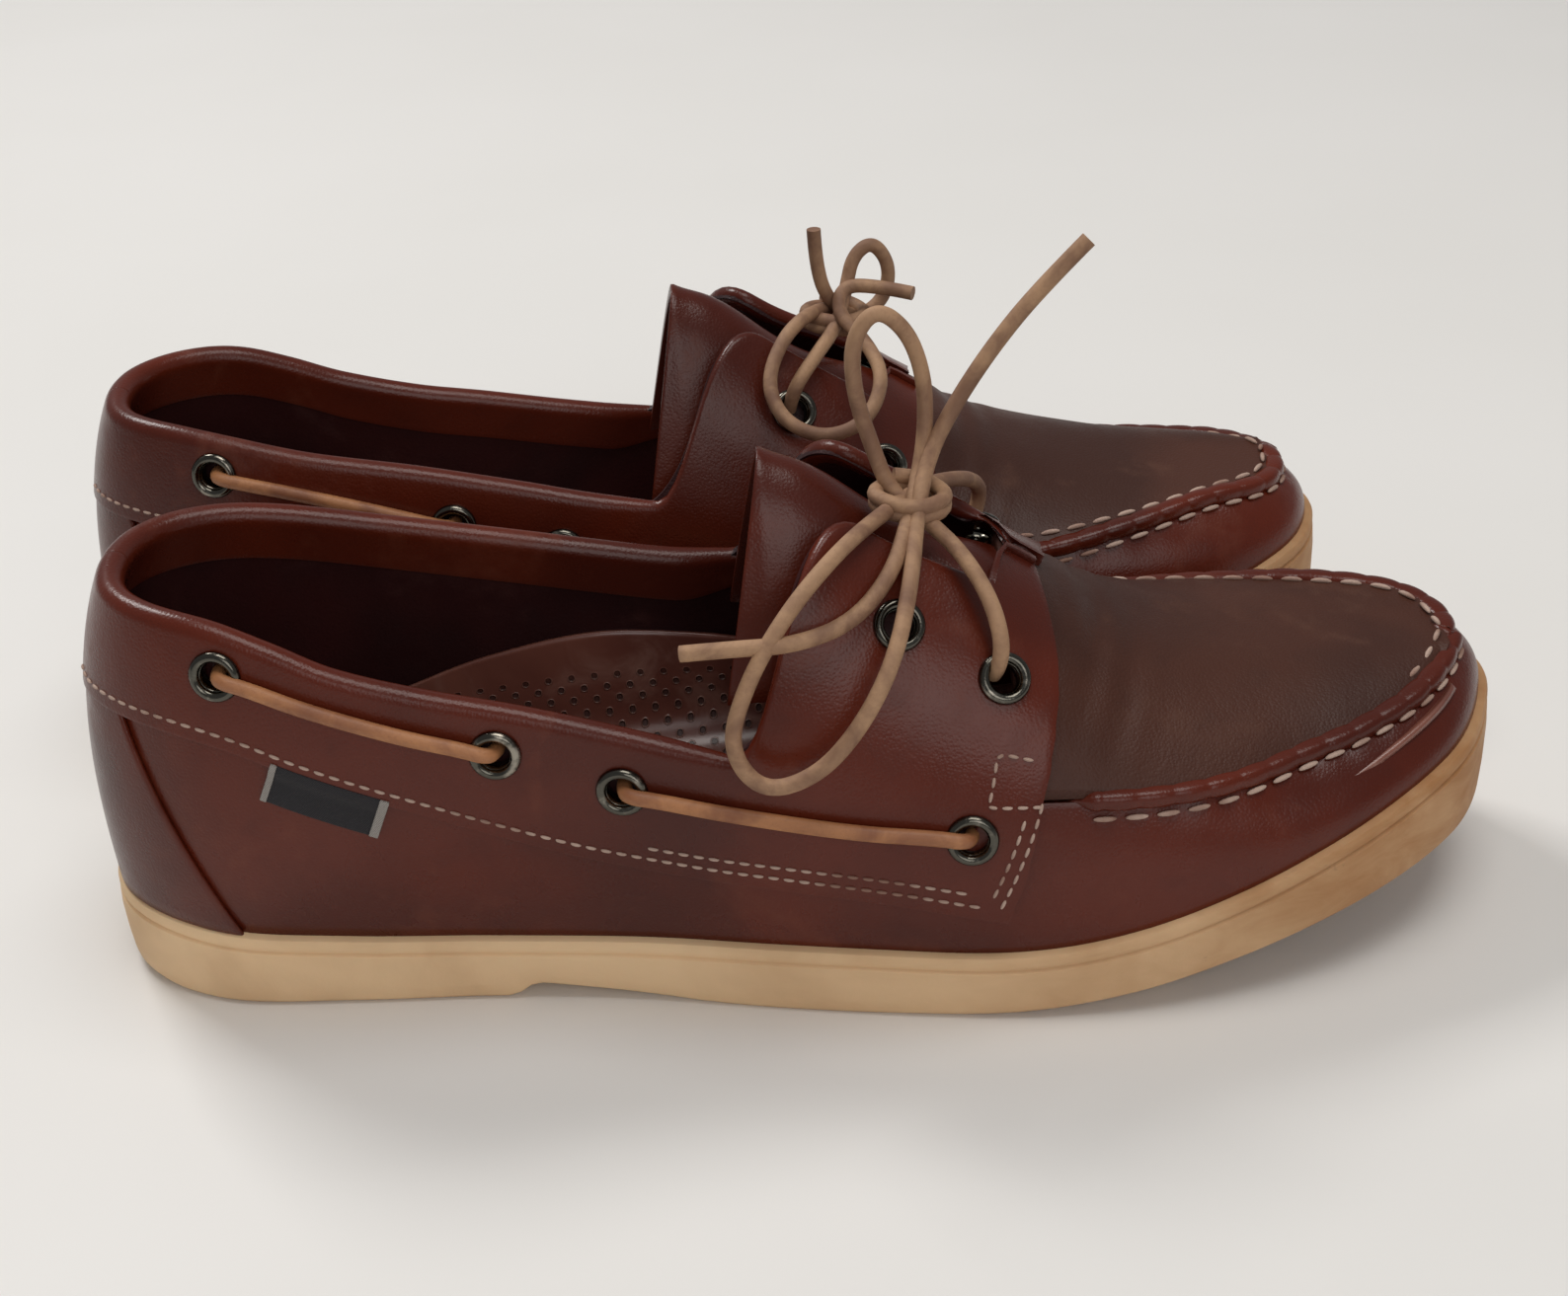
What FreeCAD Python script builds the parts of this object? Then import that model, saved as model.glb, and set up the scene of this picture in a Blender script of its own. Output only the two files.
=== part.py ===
"""A pair of low leather deck shoes on moulded rubber soles, one solid per real piece.

Each shoe is described in its own frame: x runs from heel to toe, +y points to the medial
(inner) side of the right shoe and +z is up from the floor. The left shoe is the mirror image.
The uppers follow one surface wrapped round the last, so every panel, eyelet and seam takes its
place from the same station table and sizes. All sizes are millimetres.
"""
import FreeCAD
import Part
import math
import os

V = FreeCAD.Vector

# Driving sizes
UPPER_LENGTH = 295.0        # feather line, heel to toe
BALL_WIDTH = 96.0           # feather line, at the widest place
SOLE_RAND = 2.0             # sole standing proud of the upper
HEEL_PITCH = 85.2           # between the two heels' centre lines
STAGGER = 20.3              # left shoe standing back from the right one
TOE_OUT = 3.07              # degrees between the two shoes' centre lines
COLLAR_LIFT = 0.0           # added to the collar and instep heights
LEATHER = 1.8               # wall and quarter leather
PLUG_LEATHER = 2.2
LINING = 1.2
FIT_GAP = 0.05              # between layers that lie on one another
BOARD_THICKNESS = 3.0
FOOTBED_THICKNESS = 4.0
BREAST_DEPTH = 3.5          # step in the sole in front of the heel
HEEL_LENGTH = 86.0
EYELET_RADIUS = 5.3
EYELET_HOLE = 3.1
EYELET_HEIGHT = 1.5
LACE_DIAMETER = 3.3
TONGUE_LEATHER = 2.2
ROLL_RADIUS = 3.0           # padded collar roll
STITCH_RADIUS = 0.45
EYELET_WALL = 0.5
PADDING = 1.3               # collar foam and heel stiffener, between wall and lining
LINING_GAP = 0.9            # between that layer and the lining

# Stations round the last, heel centre first, then lateral side, toe and medial side.
# Columns: feather x (share of length), feather y (share of half ball width), spine x (share),
# spine height, squareness of the section, outward bulge.
STATIONS = (
    (0.000, 0.00, 0.130, 112.0, 2.4, 0.8),
    (0.020, -0.36, 0.132, 118.0, 2.4, 1.2),
    (0.085, -0.60, 0.150, 140.0, 2.4, 2.0),
    (0.180, -0.655, 0.190, 162.0, 2.4, 3.0),
    (0.280, -0.675, 0.280, 158.0, 2.3, 3.0),
    (0.380, -0.735, 0.375, 146.0, 2.2, 2.5),
    (0.480, -0.850, 0.470, 122.0, 2.1, 2.0),
    (0.570, -0.940, 0.560, 99.0, 2.0, 1.5),
    (0.660, -1.000, 0.645, 85.0, 2.0, 1.0),
    (0.750, -0.980, 0.720, 69.0, 2.1, 0.8),
    (0.835, -0.870, 0.795, 54.0, 2.2, 0.6),
    (0.905, -0.680, 0.845, 52.0, 2.2, 0.6),
    (0.960, -0.410, 0.875, 53.5, 2.2, 0.6),
    (0.990, -0.070, 0.885, 56.0, 2.2, 0.6),
    (0.998, 0.250, 0.885, 58.0, 2.2, 0.6),
    (0.972, 0.580, 0.870, 60.0, 2.2, 0.6),
    (0.910, 0.800, 0.840, 61.5, 2.2, 0.6),
    (0.820, 0.915, 0.780, 64.0, 2.3, 0.8),
    (0.720, 0.940, 0.705, 74.0, 2.2, 1.0),
    (0.620, 0.895, 0.610, 91.0, 2.1, 1.5),
    (0.520, 0.790, 0.515, 112.0, 2.1, 2.0),
    (0.400, 0.670, 0.400, 142.0, 2.2, 2.5),
    (0.290, 0.620, 0.290, 157.0, 2.3, 3.0),
    (0.180, 0.605, 0.190, 162.0, 2.4, 3.0),
    (0.085, 0.530, 0.150, 140.0, 2.4, 2.0),
    (0.022, 0.330, 0.132, 118.0, 2.4, 1.2),
)
TOE_STATION = 13.5
BULGE_HEIGHT = 78.0         # the outward bulge dies out this far above the feather line

# Heights along the shoe: (share of the upper's length, height)
SOLE_TOP = ((0.0, 21.0), (0.06, 19.2), (0.12, 17.3), (0.22, 15.8), (0.32, 15.1), (0.44, 15.4), (0.54, 15.4),
            (0.62, 15.2), (0.68, 16.4), (0.74, 19.8), (0.80, 25.0), (0.87, 32.0), (0.94, 38.5), (1.0, 42.5))
SOLE_BOTTOM = ((0.59, 0.0), (0.66, 1.2), (0.73, 4.5), (0.80, 9.5), (0.87, 14.5), (0.94, 18.5), (1.0, 21.0))
RIM_LATERAL = ((0.0, 94.0), (0.08, 92.5), (0.12, 90.5), (0.16, 86.0), (0.20, 80.5), (0.26, 75.0), (0.32, 71.0),
               (0.38, 66.5), (0.46, 60.5))
RIM_MEDIAL = ((0.0, 94.0), (0.08, 92.5), (0.13, 90.0), (0.20, 85.0), (0.28, 80.0), (0.36, 74.5), (0.41, 71.0),
              (0.46, 68.5))
BAND_LOW = ((0.0, 69.5), (0.05, 69.0), (0.09, 67.5), (0.13, 64.0), (0.17, 58.5), (0.23, 51.0), (0.295, 43.5),
            (0.36, 37.2), (0.43, 33.2), (0.49, 31.0), (0.56, 28.2), (0.64, 24.0), (0.70, 21.5))
SEAM_LATERAL = ((0.66, 44.0), (0.76, 43.2), (0.84, 43.7), (0.92, 46.0), (1.0, 50.5))
SEAM_MEDIAL = ((0.66, 48.0), (0.75, 48.5), (0.84, 51.5), (0.92, 54.0), (1.0, 53.0))
PLUG_CREST = ((0.64, 81.5), (0.66, 78.0), (0.68, 74.0), (0.73, 64.5), (0.78, 58.5), (0.84, 55.0), (0.90, 53.5),
              (1.0, 53.0))
TONGUE_RIDGE = ((0.49, 108.5), (0.53, 100.5), (0.567, 91.5), (0.60, 86.0), (0.65, 79.5), (0.70, 73.0))
TONGUE_ARCH = ((0.49, 0.090), (0.56, 0.060), (0.62, 0.035), (0.70, 0.018))

QUARTER_FRONT = 0.640       # lower front corner of the quarters
SADDLE_BOW = 0.050          # the quarters' front edge comes forward by this share as it climbs
PLUG_REAR = 0.660
RIM_END = 0.465             # the topline ends here and the throat edge rises
ROLL_END = 0.415
THROAT_FRONT = 0.660
THROAT_REAR = 0.560
EYESTAY_TOP = 71.0          # degrees round the section to the eyestay's inner edge
TONGUE_FOLD = 0.575
TONGUE_FRONT = 0.650
TONGUE_HALF_WIDTH = 23.0
TONGUE_FOLD_GAP = 3.0
BACKSTAY_LOW = 0.105
BACKSTAY_HIGH = 0.045
BAND_OVERLAP = 8.0

# Eyelet places: (share of length, height above the floor)
SIDE_EYELETS = {"lateral": ((0.125, 80.5), (0.304, 62.0), (0.387, 53.5), (0.618, 42.5)),
                "medial": ((0.125, 81.5), (0.304, 66.0), (0.387, 58.5), (0.618, 46.0))}
FRONT_EYELETS = {"lateral": ((0.643, 70.0), (0.575, 81.0)),
                 "medial": ((0.643, 70.5), (0.575, 84.0))}


def profile(points, at):
    """Height at a share of the length, on a smooth curve through the given points."""
    if at <= points[0][0]:
        return points[0][1]
    if at >= points[-1][0]:
        return points[-1][1]
    last = len(points) - 1
    i = max(k for k in range(last) if points[k][0] <= at)

    def slope(k):
        low = points[max(k - 1, 0)]
        high = points[min(k + 1, last)]
        return (high[1] - low[1]) / (high[0] - low[0])

    span = points[i + 1][0] - points[i][0]
    t = (at - points[i][0]) / span
    rise = (2 * t ** 3 - 3 * t ** 2 + 1) * points[i][1] + (3 * t ** 2 - 2 * t ** 3) * points[i + 1][1]
    return rise + span * ((t ** 3 - 2 * t ** 2 + t) * slope(i) + (t ** 3 - t ** 2) * slope(i + 1))


def station(at):
    """The station table's columns at any place round the last, as a closed smooth curve."""
    count = len(STATIONS)
    i = math.floor(at)
    t = at - i
    rows = [STATIONS[(i + k) % count] for k in (-1, 0, 1, 2)]
    mixed = []
    for a, b, c, d in zip(*rows):
        mixed.append(b + 0.5 * t * (c - a + t * (2 * a - 5 * b + 4 * c - d + t * (3 * (b - c) + d - a))))
    return mixed


def feather(at):
    """Point of the feather line, where the upper meets the sole."""
    x, y = station(at)[:2]
    return V(x * UPPER_LENGTH, y * BALL_WIDTH / 2, profile(SOLE_TOP, x))


def wrap(at, turn):
    """Point of the upper's outer surface, turn degrees up from the feather line to the spine."""
    x, y, spine, top, square, bulge = station(at)
    foot = feather(at)
    ridge = V(spine * UPPER_LENGTH, 0, top + COLLAR_LIFT)
    angle = math.radians(turn)
    out = max(math.cos(angle), 0.0) ** (2 / square)
    rise = math.copysign(abs(math.sin(angle)) ** (2 / square), angle)
    z = foot.z + (ridge.z - foot.z) * rise
    swell = bulge * math.sin(math.pi * min((z - foot.z) / BULGE_HEIGHT, 1.0))
    away = V(foot.x - ridge.x, foot.y, 0)
    away.normalize()
    flat = V(ridge.x, 0, 0) + V(foot.x - ridge.x, foot.y, 0) * out + away * swell
    return V(flat.x, flat.y, z)


def turn_at(at, height):
    """Turn, in degrees, at which the upper's surface reaches a height."""
    x, y, spine, top, square, bulge = station(at)
    foot = profile(SOLE_TOP, x)
    share = min(max((height - foot) / (top + COLLAR_LIFT - foot), 0.0), 1.0)
    return math.degrees(math.asin(share ** (square / 2)))


def place_of(side, share):
    """Station place on one side whose feather point has the given share of the length."""
    low, high = (0.0, TOE_STATION) if side == "lateral" else (len(STATIONS), TOE_STATION)
    for _ in range(40):
        middle = (low + high) / 2
        if station(middle)[0] < share:
            low = middle
        else:
            high = middle
    return (low + high) / 2


def side_of(at):
    """Side of the shoe that a station place is on."""
    return "lateral" if at % len(STATIONS) <= TOE_STATION else "medial"


def rim_height(at):
    share = station(at)[0]
    points = RIM_LATERAL if side_of(at) == "lateral" else RIM_MEDIAL
    return profile(points, share) + COLLAR_LIFT


def normal_of(surface, u, v, step=0.02):
    """Outward unit normal of a surface given as a function of two numbers."""
    along = surface(u + step, v) - surface(u - step, v)
    up = surface(u, v + step) - surface(u, v - step)
    normal = along.cross(up)
    normal.normalize()
    return normal


def patch_solid(surface, us, vs, inner, outer, flip=False):
    """Closed solid between two offsets of a surface, over a grid of its two numbers."""
    sign = -1.0 if flip else 1.0
    grids = []
    for offset in (outer, inner):
        rows = []
        for u in us:
            rows.append([surface(u, v) + normal_of(surface, u, v) * (sign * offset) for v in vs])
        grids.append(rows)
    skins = []
    for rows in grids:
        skin = Part.BSplineSurface()
        skin.interpolate(rows)
        skins.append(skin)
    faces = [skin.toShape() for skin in skins]
    u0, u1, v0, v1 = skins[0].bounds()
    p0, p1, q0, q1 = skins[1].bounds()
    for a, b in ((u0, p0), (u1, p1)):
        faces.append(Part.makeRuledSurface(skins[0].uIso(a).toShape(), skins[1].uIso(b).toShape()))
    for a, b in ((v0, q0), (v1, q1)):
        faces.append(Part.makeRuledSurface(skins[0].vIso(a).toShape(), skins[1].vIso(b).toShape()))
    return closed_solid(faces)


def closed_solid(faces):
    """Solid enclosed by faces that meet edge to edge."""
    shell = Part.makeShell(faces)
    shell.sewShape()
    solid = Part.makeSolid(shell)
    if solid.Volume < 0:
        solid.reverse()
    return solid


def spread(low, high, count):
    """Evenly spaced numbers from low to high."""
    return [low + (high - low) * k / (count - 1) for k in range(count)]


def panel(start, end, low, high, inner, outer, columns=24, rows=7):
    """Panel of the upper between two station edges and two turn edges.

    start and end give the station place from a share of the panel's height, low and high give
    the turn from a station place.
    """
    def surface(u, v):
        at = start(v) + (end(v) - start(v)) * u
        return wrap(at, low(at) + (high(at) - low(at)) * v)

    return patch_solid(surface, spread(0, 1, columns), spread(0, 1, rows), inner, outer)


def tube(points, diameter, name=None):
    """Round cord along straight runs joined by tangent arcs as large as the runs allow."""
    runs = [points[k + 1] - points[k] for k in range(len(points) - 1)]
    edges = []
    radii = []
    start = points[0]
    for k in range(1, len(points) - 1):
        before, after = runs[k - 1], runs[k]
        turn = before.getAngle(after)
        setback = 0.45 * min(before.Length, after.Length)
        radii.append(setback / math.tan(turn / 2))
        enter = points[k] - V(before).normalize() * setback
        leave = points[k] + V(after).normalize() * setback
        toward = (enter + leave) * 0.5 - points[k]
        sag = radii[-1] * (1 / math.cos(turn / 2) - 1)
        middle = points[k] + V(toward).normalize() * sag
        edges.append(Part.LineSegment(start, enter).toShape())
        edges.append(Part.Arc(enter, middle, leave).toShape())
        start = leave
    edges.append(Part.LineSegment(start, points[-1]).toShape())
    path = Part.Wire(edges)
    ring = Part.Wire(Part.Circle(points[0], runs[0], diameter / 2).toShape())
    solid = path.makePipeShell([ring], True, False)
    section = math.pi * diameter ** 2 / 4
    if name:
        print(name, "length", round(path.Length, 1), "radii", [round(r, 1) for r in radii],
              "volume ratio", round(solid.Volume / (section * path.Length), 4))
    return solid


def outline(offset):
    """Face on the floor inside the feather line's plan, moved outwards by an offset."""
    points = []
    for k in range(2 * len(STATIONS)):
        here = feather(k / 2)
        along = feather(k / 2 + 0.05) - feather(k / 2 - 0.05)
        out = V(along.y, -along.x, 0)
        out.normalize()
        points.append(V(here.x, here.y, 0) + out * offset)
    curve = Part.BSplineCurve()
    curve.interpolate(Points=points, PeriodicFlag=True)
    return Part.Face(Part.Wire(curve.toShape()))


def smooth_line(points):
    """Edge through (x, z) points on the shoe's side plane."""
    curve = Part.BSplineCurve()
    curve.interpolate([V(x, -BALL_WIDTH, z) for x, z in points])
    return curve.toShape()


def straight_line(a, b):
    """Straight edge between two (x, z) points on the shoe's side plane."""
    return Part.LineSegment(V(a[0], -BALL_WIDTH, a[1]), V(b[0], -BALL_WIDTH, b[1])).toShape()


def across(edges):
    """Solid made by carrying a closed side outline right across the shoe."""
    face = Part.Face(Part.Wire(Part.__sortEdges__(edges)))
    return face.extrude(V(0, 2 * BALL_WIDTH, 0))


def sole_line(lift, reach):
    """Points along the sole's top, lifted, running past both ends of the upper by a reach."""
    points = [(share * UPPER_LENGTH, height + lift) for share, height in SOLE_TOP]
    first, last = points[0], points[-1]
    return [(first[0] - reach, first[1])] + points + [(last[0] + reach, last[1] + reach / 3)]


def layer_on_sole(inset, low, high):
    """Plate that follows the sole's top between two heights above it."""
    reach = 2 * SOLE_RAND
    bottom, top = sole_line(low, reach), sole_line(high, reach)
    slab = across([smooth_line(bottom), smooth_line(top), straight_line(bottom[0], top[0]),
                   straight_line(bottom[-1], top[-1])])
    plate = outline(-inset).extrude(V(0, 0, 4 * top[-1][1]))
    return plate.common(slab).Solids[0]


def outsole():
    """Moulded rubber sole with a low heel, a breast, a flat tread and toe spring."""
    reach = 2 * SOLE_RAND
    top = sole_line(0, reach)
    tread = [(share * UPPER_LENGTH, height) for share, height in SOLE_BOTTOM]
    tread.append((tread[-1][0] + reach, tread[-1][1] + 1))
    waist = 0.43 * UPPER_LENGTH
    heel_round = 0.05 * UPPER_LENGTH
    corners = [(-reach, 5.0), (heel_round, 0.0), (HEEL_LENGTH, 0.0), (HEEL_LENGTH + 5, BREAST_DEPTH),
               (waist, 0.0), tread[0]]
    edges = [straight_line(corners[k], corners[k + 1]) for k in range(len(corners) - 1)]
    edges += [smooth_line(tread), smooth_line(top), straight_line(corners[0], top[0]),
              straight_line(tread[-1], top[-1])]
    block = outline(SOLE_RAND).extrude(V(0, 0, 4 * top[-1][1]))
    return block.common(across(edges)).Solids[0]


def smooth_step(value):
    """Ease from 0 to 1 as a value goes from 0 to 1."""
    t = min(max(value, 0.0), 1.0)
    return t * t * (3 - 2 * t)


def seam_height(at):
    """Height of the seam between the wall and the plug."""
    points = SEAM_LATERAL if side_of(at) == "lateral" else SEAM_MEDIAL
    return profile(points, station(at)[0])


def seam_turn(at):
    return turn_at(at, seam_height(at))


def wall_top(at):
    """Turn of the wall's upper edge: hidden under the quarters, then up to the plug seam."""
    share = station(at)[0]
    hidden = profile(BAND_LOW, share) + BAND_OVERLAP
    step = smooth_step((share - QUARTER_FRONT - 0.012) / 0.035)
    return turn_at(at, hidden + (seam_height(at) - hidden) * step)


def panel_top(at):
    """Turn of the top edge of the quarters and of what lies behind them."""
    share = station(at)[0]
    under_roll = 1.8 * ROLL_RADIUS * (1 - smooth_step((share - ROLL_END) / 0.05))
    rim = turn_at(at, rim_height(at) - under_roll)
    throat = smooth_step((share - RIM_END) / (THROAT_REAR - RIM_END))
    return rim + (EYESTAY_TOP - rim) * throat


def band_turn(at, lift=0.0):
    """Turn of the quarters' lower edge."""
    return turn_at(at, profile(BAND_LOW, station(at)[0]) + lift)


def foot_turn(at, lift=0.4):
    return turn_at(at, feather(at).z + lift)


def fixed(value):
    """A panel edge at one station place."""
    return lambda share: value


def quarter(side):
    """Outer quarter leather with the eyestay, from the heel seam to the saddle's front edge."""
    def front(share):
        return place_of(side, QUARTER_FRONT + SADDLE_BOW * math.sin(math.pi / 2 * min(1.3 * share, 1.0)))

    seam_gap = 0.01
    low, high = FIT_GAP, FIT_GAP + LEATHER
    if side == "lateral":
        return panel(fixed(seam_gap), front, band_turn, panel_top, low, high, 36, 11)
    return panel(front, fixed(len(STATIONS) - seam_gap), band_turn, panel_top, low, high, 36, 11)


def backing(side):
    """Stiff layer behind a quarter, filling the space above the wall's hidden edge."""
    front = place_of(side, THROAT_FRONT - 0.015)
    ends = (0.01, front) if side == "lateral" else (front, len(STATIONS) - 0.01)

    def low(at):
        return band_turn(at, BAND_OVERLAP + 0.5)

    return panel(fixed(ends[0]), fixed(ends[1]), low, panel_top, -LEATHER, -3 * FIT_GAP, 30, 7)


def round_heel(share, low, high, inner, outer, columns=40, rows=7):
    """Panel wrapped round the heel, reaching the same share of the length on both sides."""
    medial = place_of("medial", share)
    lateral = len(STATIONS) + place_of("lateral", share)
    return panel(fixed(medial), fixed(lateral), low, high, inner, outer, columns, rows)


def vamp_wall():
    """Side wall leather, from the heel on one side, round the toe, to the heel on the other."""
    back = 0.02
    return panel(fixed(place_of("lateral", back)), fixed(place_of("medial", back)), foot_turn, wall_top,
                 -LEATHER, 0, 60, 9)


def toe_lining():
    """Lining inside the wall round the toe."""
    front = QUARTER_FRONT + 2 * SADDLE_BOW

    def low(at):
        return foot_turn(at, BOARD_THICKNESS + FOOTBED_THICKNESS + 2)

    def high(at):
        return seam_turn(at) - 4

    depth = LEATHER + FIT_GAP
    return panel(fixed(place_of("lateral", front)), fixed(place_of("medial", front)), low, high,
                 -depth - LINING, -depth, 36, 5)


def seam_point(at, out=0.0):
    """Point of the plug seam, moved out from the upper's surface."""
    turn = seam_turn(at)
    return wrap(at, turn) + normal_of(wrap, at, turn) * out


def plug_half(side, x):
    """Half width of the plug at x."""
    low, high = place_of(side, QUARTER_FRONT - 0.03), TOE_STATION
    for _ in range(30):
        middle = (low + high) / 2
        if seam_point(middle).x < x:
            low = middle
        else:
            high = middle
    return max(abs(seam_point((low + high) / 2).y), 6.0)


def plug_height(x, y):
    """Height of the plug's underside."""
    share = x / UPPER_LENGTH
    side = "lateral" if y < 0 else "medial"
    edge = profile(SEAM_LATERAL if y < 0 else SEAM_MEDIAL, share) + FIT_GAP
    crest = profile(PLUG_CREST, share)
    reach = min(abs(y) / plug_half(side, x), 1.15)
    under_saddle = (PLUG_LEATHER + 4 * FIT_GAP) * (1 - smooth_step((share - PLUG_REAR - 0.025) / 0.025))
    return crest - (crest - edge) * reach ** 2.4 - under_saddle


def plug():
    """Top leather of the forefoot, inside the seam, tucked under the saddle at its rear."""
    rear, tip = PLUG_REAR * UPPER_LENGTH, UPPER_LENGTH
    half = 0.45 * BALL_WIDTH
    xs = spread(rear - 2, tip, 22)
    ys = spread(-half, half, 17)
    skins = []
    for lift in (0.0, PLUG_LEATHER):
        skin = Part.BSplineSurface()
        skin.interpolate([[V(x, y, plug_height(x, y) + lift) for y in ys] for x in xs])
        skins.append(skin)
    faces = [skin.toShape() for skin in skins]
    u0, u1, v0, v1 = skins[0].bounds()
    p0, p1, q0, q1 = skins[1].bounds()
    for a, b in ((u0, p0), (u1, p1)):
        faces.append(Part.makeRuledSurface(skins[0].uIso(a).toShape(), skins[1].uIso(b).toShape()))
    for a, b in ((v0, q0), (v1, q1)):
        faces.append(Part.makeRuledSurface(skins[0].vIso(a).toShape(), skins[1].vIso(b).toShape()))
    sheet = closed_solid(faces)
    start, end = place_of("lateral", PLUG_REAR - 0.01), place_of("medial", PLUG_REAR - 0.01)
    rim = [seam_point(at) for at in spread(start, end, 40)]
    curve = Part.BSplineCurve()
    curve.interpolate([V(p.x, p.y, 0) for p in rim])
    edge = curve.toShape()
    close = Part.LineSegment(V(rim[-1].x, rim[-1].y, 0), V(rim[0].x, rim[0].y, 0)).toShape()
    shape = Part.Face(Part.Wire([edge, close])).extrude(V(0, 0, 2 * sheet.BoundBox.ZMax))
    behind = Part.makeBox(rear, 2 * BALL_WIDTH, 2 * sheet.BoundBox.ZMax, V(0, -BALL_WIDTH, 0))
    return sheet.common(shape).cut(behind).Solids[0]


def throat_bridge():
    """Short strap across the instep that joins the two quarters in front of the tongue."""
    rear, front = THROAT_FRONT, QUARTER_FRONT + SADDLE_BOW

    def surface(u, v):
        share = rear + (front - rear) * u
        turn = EYESTAY_TOP + 1 + (180 - 2 * (EYESTAY_TOP + 1)) * v
        lateral = wrap(place_of("lateral", share), min(turn, 180 - turn))
        medial = wrap(place_of("medial", share), min(turn, 180 - turn))
        blend = smooth_step((turn - 60) / 60)
        x = lateral.x + (medial.x - lateral.x) * blend
        z = lateral.z + (medial.z - lateral.z) * blend
        return V(x, lateral.y if turn <= 90 else medial.y, z)

    return patch_solid(surface, spread(0, 1, 5), spread(0, 1, 11), FIT_GAP, FIT_GAP + LEATHER)


def tongue_surface(share, y):
    """Middle surface of the tongue: an arch that rises towards its free rear edge."""
    return V(share * UPPER_LENGTH, y, profile(TONGUE_RIDGE, share) + COLLAR_LIFT
             - profile(TONGUE_ARCH, share) * y * y)


def tongue(start, end, start_lean, end_lean):
    """Part of the tongue between two shares of the length; the leans slope its ends at the sides."""
    def surface(u, v):
        y = TONGUE_HALF_WIDTH * (2 * v - 1)
        side = abs(2 * v - 1) ** 2
        low = start + start_lean * side
        high = end + end_lean * side
        return tongue_surface(low + (high - low) * u, y)

    return patch_solid(surface, spread(0, 1, 9), spread(0, 1, 15), -TONGUE_LEATHER / 2, TONGUE_LEATHER / 2)


def eyelet_spot(side, share, height):
    """Centre and outward normal of an eyelet on the upper's surface."""
    low, high = (0.3, TOE_STATION) if side == "lateral" else (len(STATIONS) - 0.3, TOE_STATION)
    for _ in range(40):
        at = (low + high) / 2
        turn = turn_at(at, height + COLLAR_LIFT)
        if wrap(at, turn).x < share * UPPER_LENGTH:
            low = at
        else:
            high = at
    return wrap(at, turn), normal_of(wrap, at, turn)


def eyelet(centre, normal):
    """Turned-over metal eyelet: a flange on the leather and a barrel through it."""
    seat = FIT_GAP + LEATHER + 0.2
    depth = LEATHER + PADDING + LINING + 4 * FIT_GAP
    flange = Part.makeCylinder(EYELET_RADIUS, EYELET_HEIGHT, centre + normal * seat, normal)
    flange = flange.makeFillet(0.45 * EYELET_HEIGHT, [flange.Edges[0]])
    barrel = Part.makeCylinder(EYELET_HOLE + EYELET_WALL, seat + depth, centre - normal * depth, normal)
    bore = Part.makeCylinder(EYELET_HOLE, 3 * depth + seat, centre - normal * 1.5 * depth, normal)
    return flange.fuse(barrel).cut(bore).removeSplitter().Solids[0]


def eyelet_holes(spots):
    """Drills that clear the barrels of a list of eyelets."""
    reach = 14.0
    radius = EYELET_HOLE + EYELET_WALL + FIT_GAP
    return [Part.makeCylinder(radius, 2 * reach, c - n * reach, n) for c, n in spots]


def drilled(solid, holes):
    """Solid with holes through it, kept in one piece."""
    for hole in holes:
        if solid.BoundBox.intersect(hole.BoundBox):
            solid = solid.cut(hole)
    return max(solid.Solids, key=lambda s: s.Volume)


def dashes(path, pitch, fill):
    """Stitches as short round bars, evenly spaced along a polyline of points."""
    lengths = [0.0]
    for a, b in zip(path, path[1:]):
        lengths.append(lengths[-1] + (b - a).Length)

    def point_at(distance):
        k = max(i for i in range(len(path) - 1) if lengths[i] <= distance)
        share = (distance - lengths[k]) / (lengths[k + 1] - lengths[k])
        return path[k] + (path[k + 1] - path[k]) * share

    count = int((lengths[-1] - pitch * fill) / pitch)
    bars = []
    for k in range(count + 1):
        start, end = point_at(k * pitch), point_at((k + fill) * pitch)
        bars.append(Part.makeCylinder(STITCH_RADIUS, (end - start).Length, start, end - start))
    return bars


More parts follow.
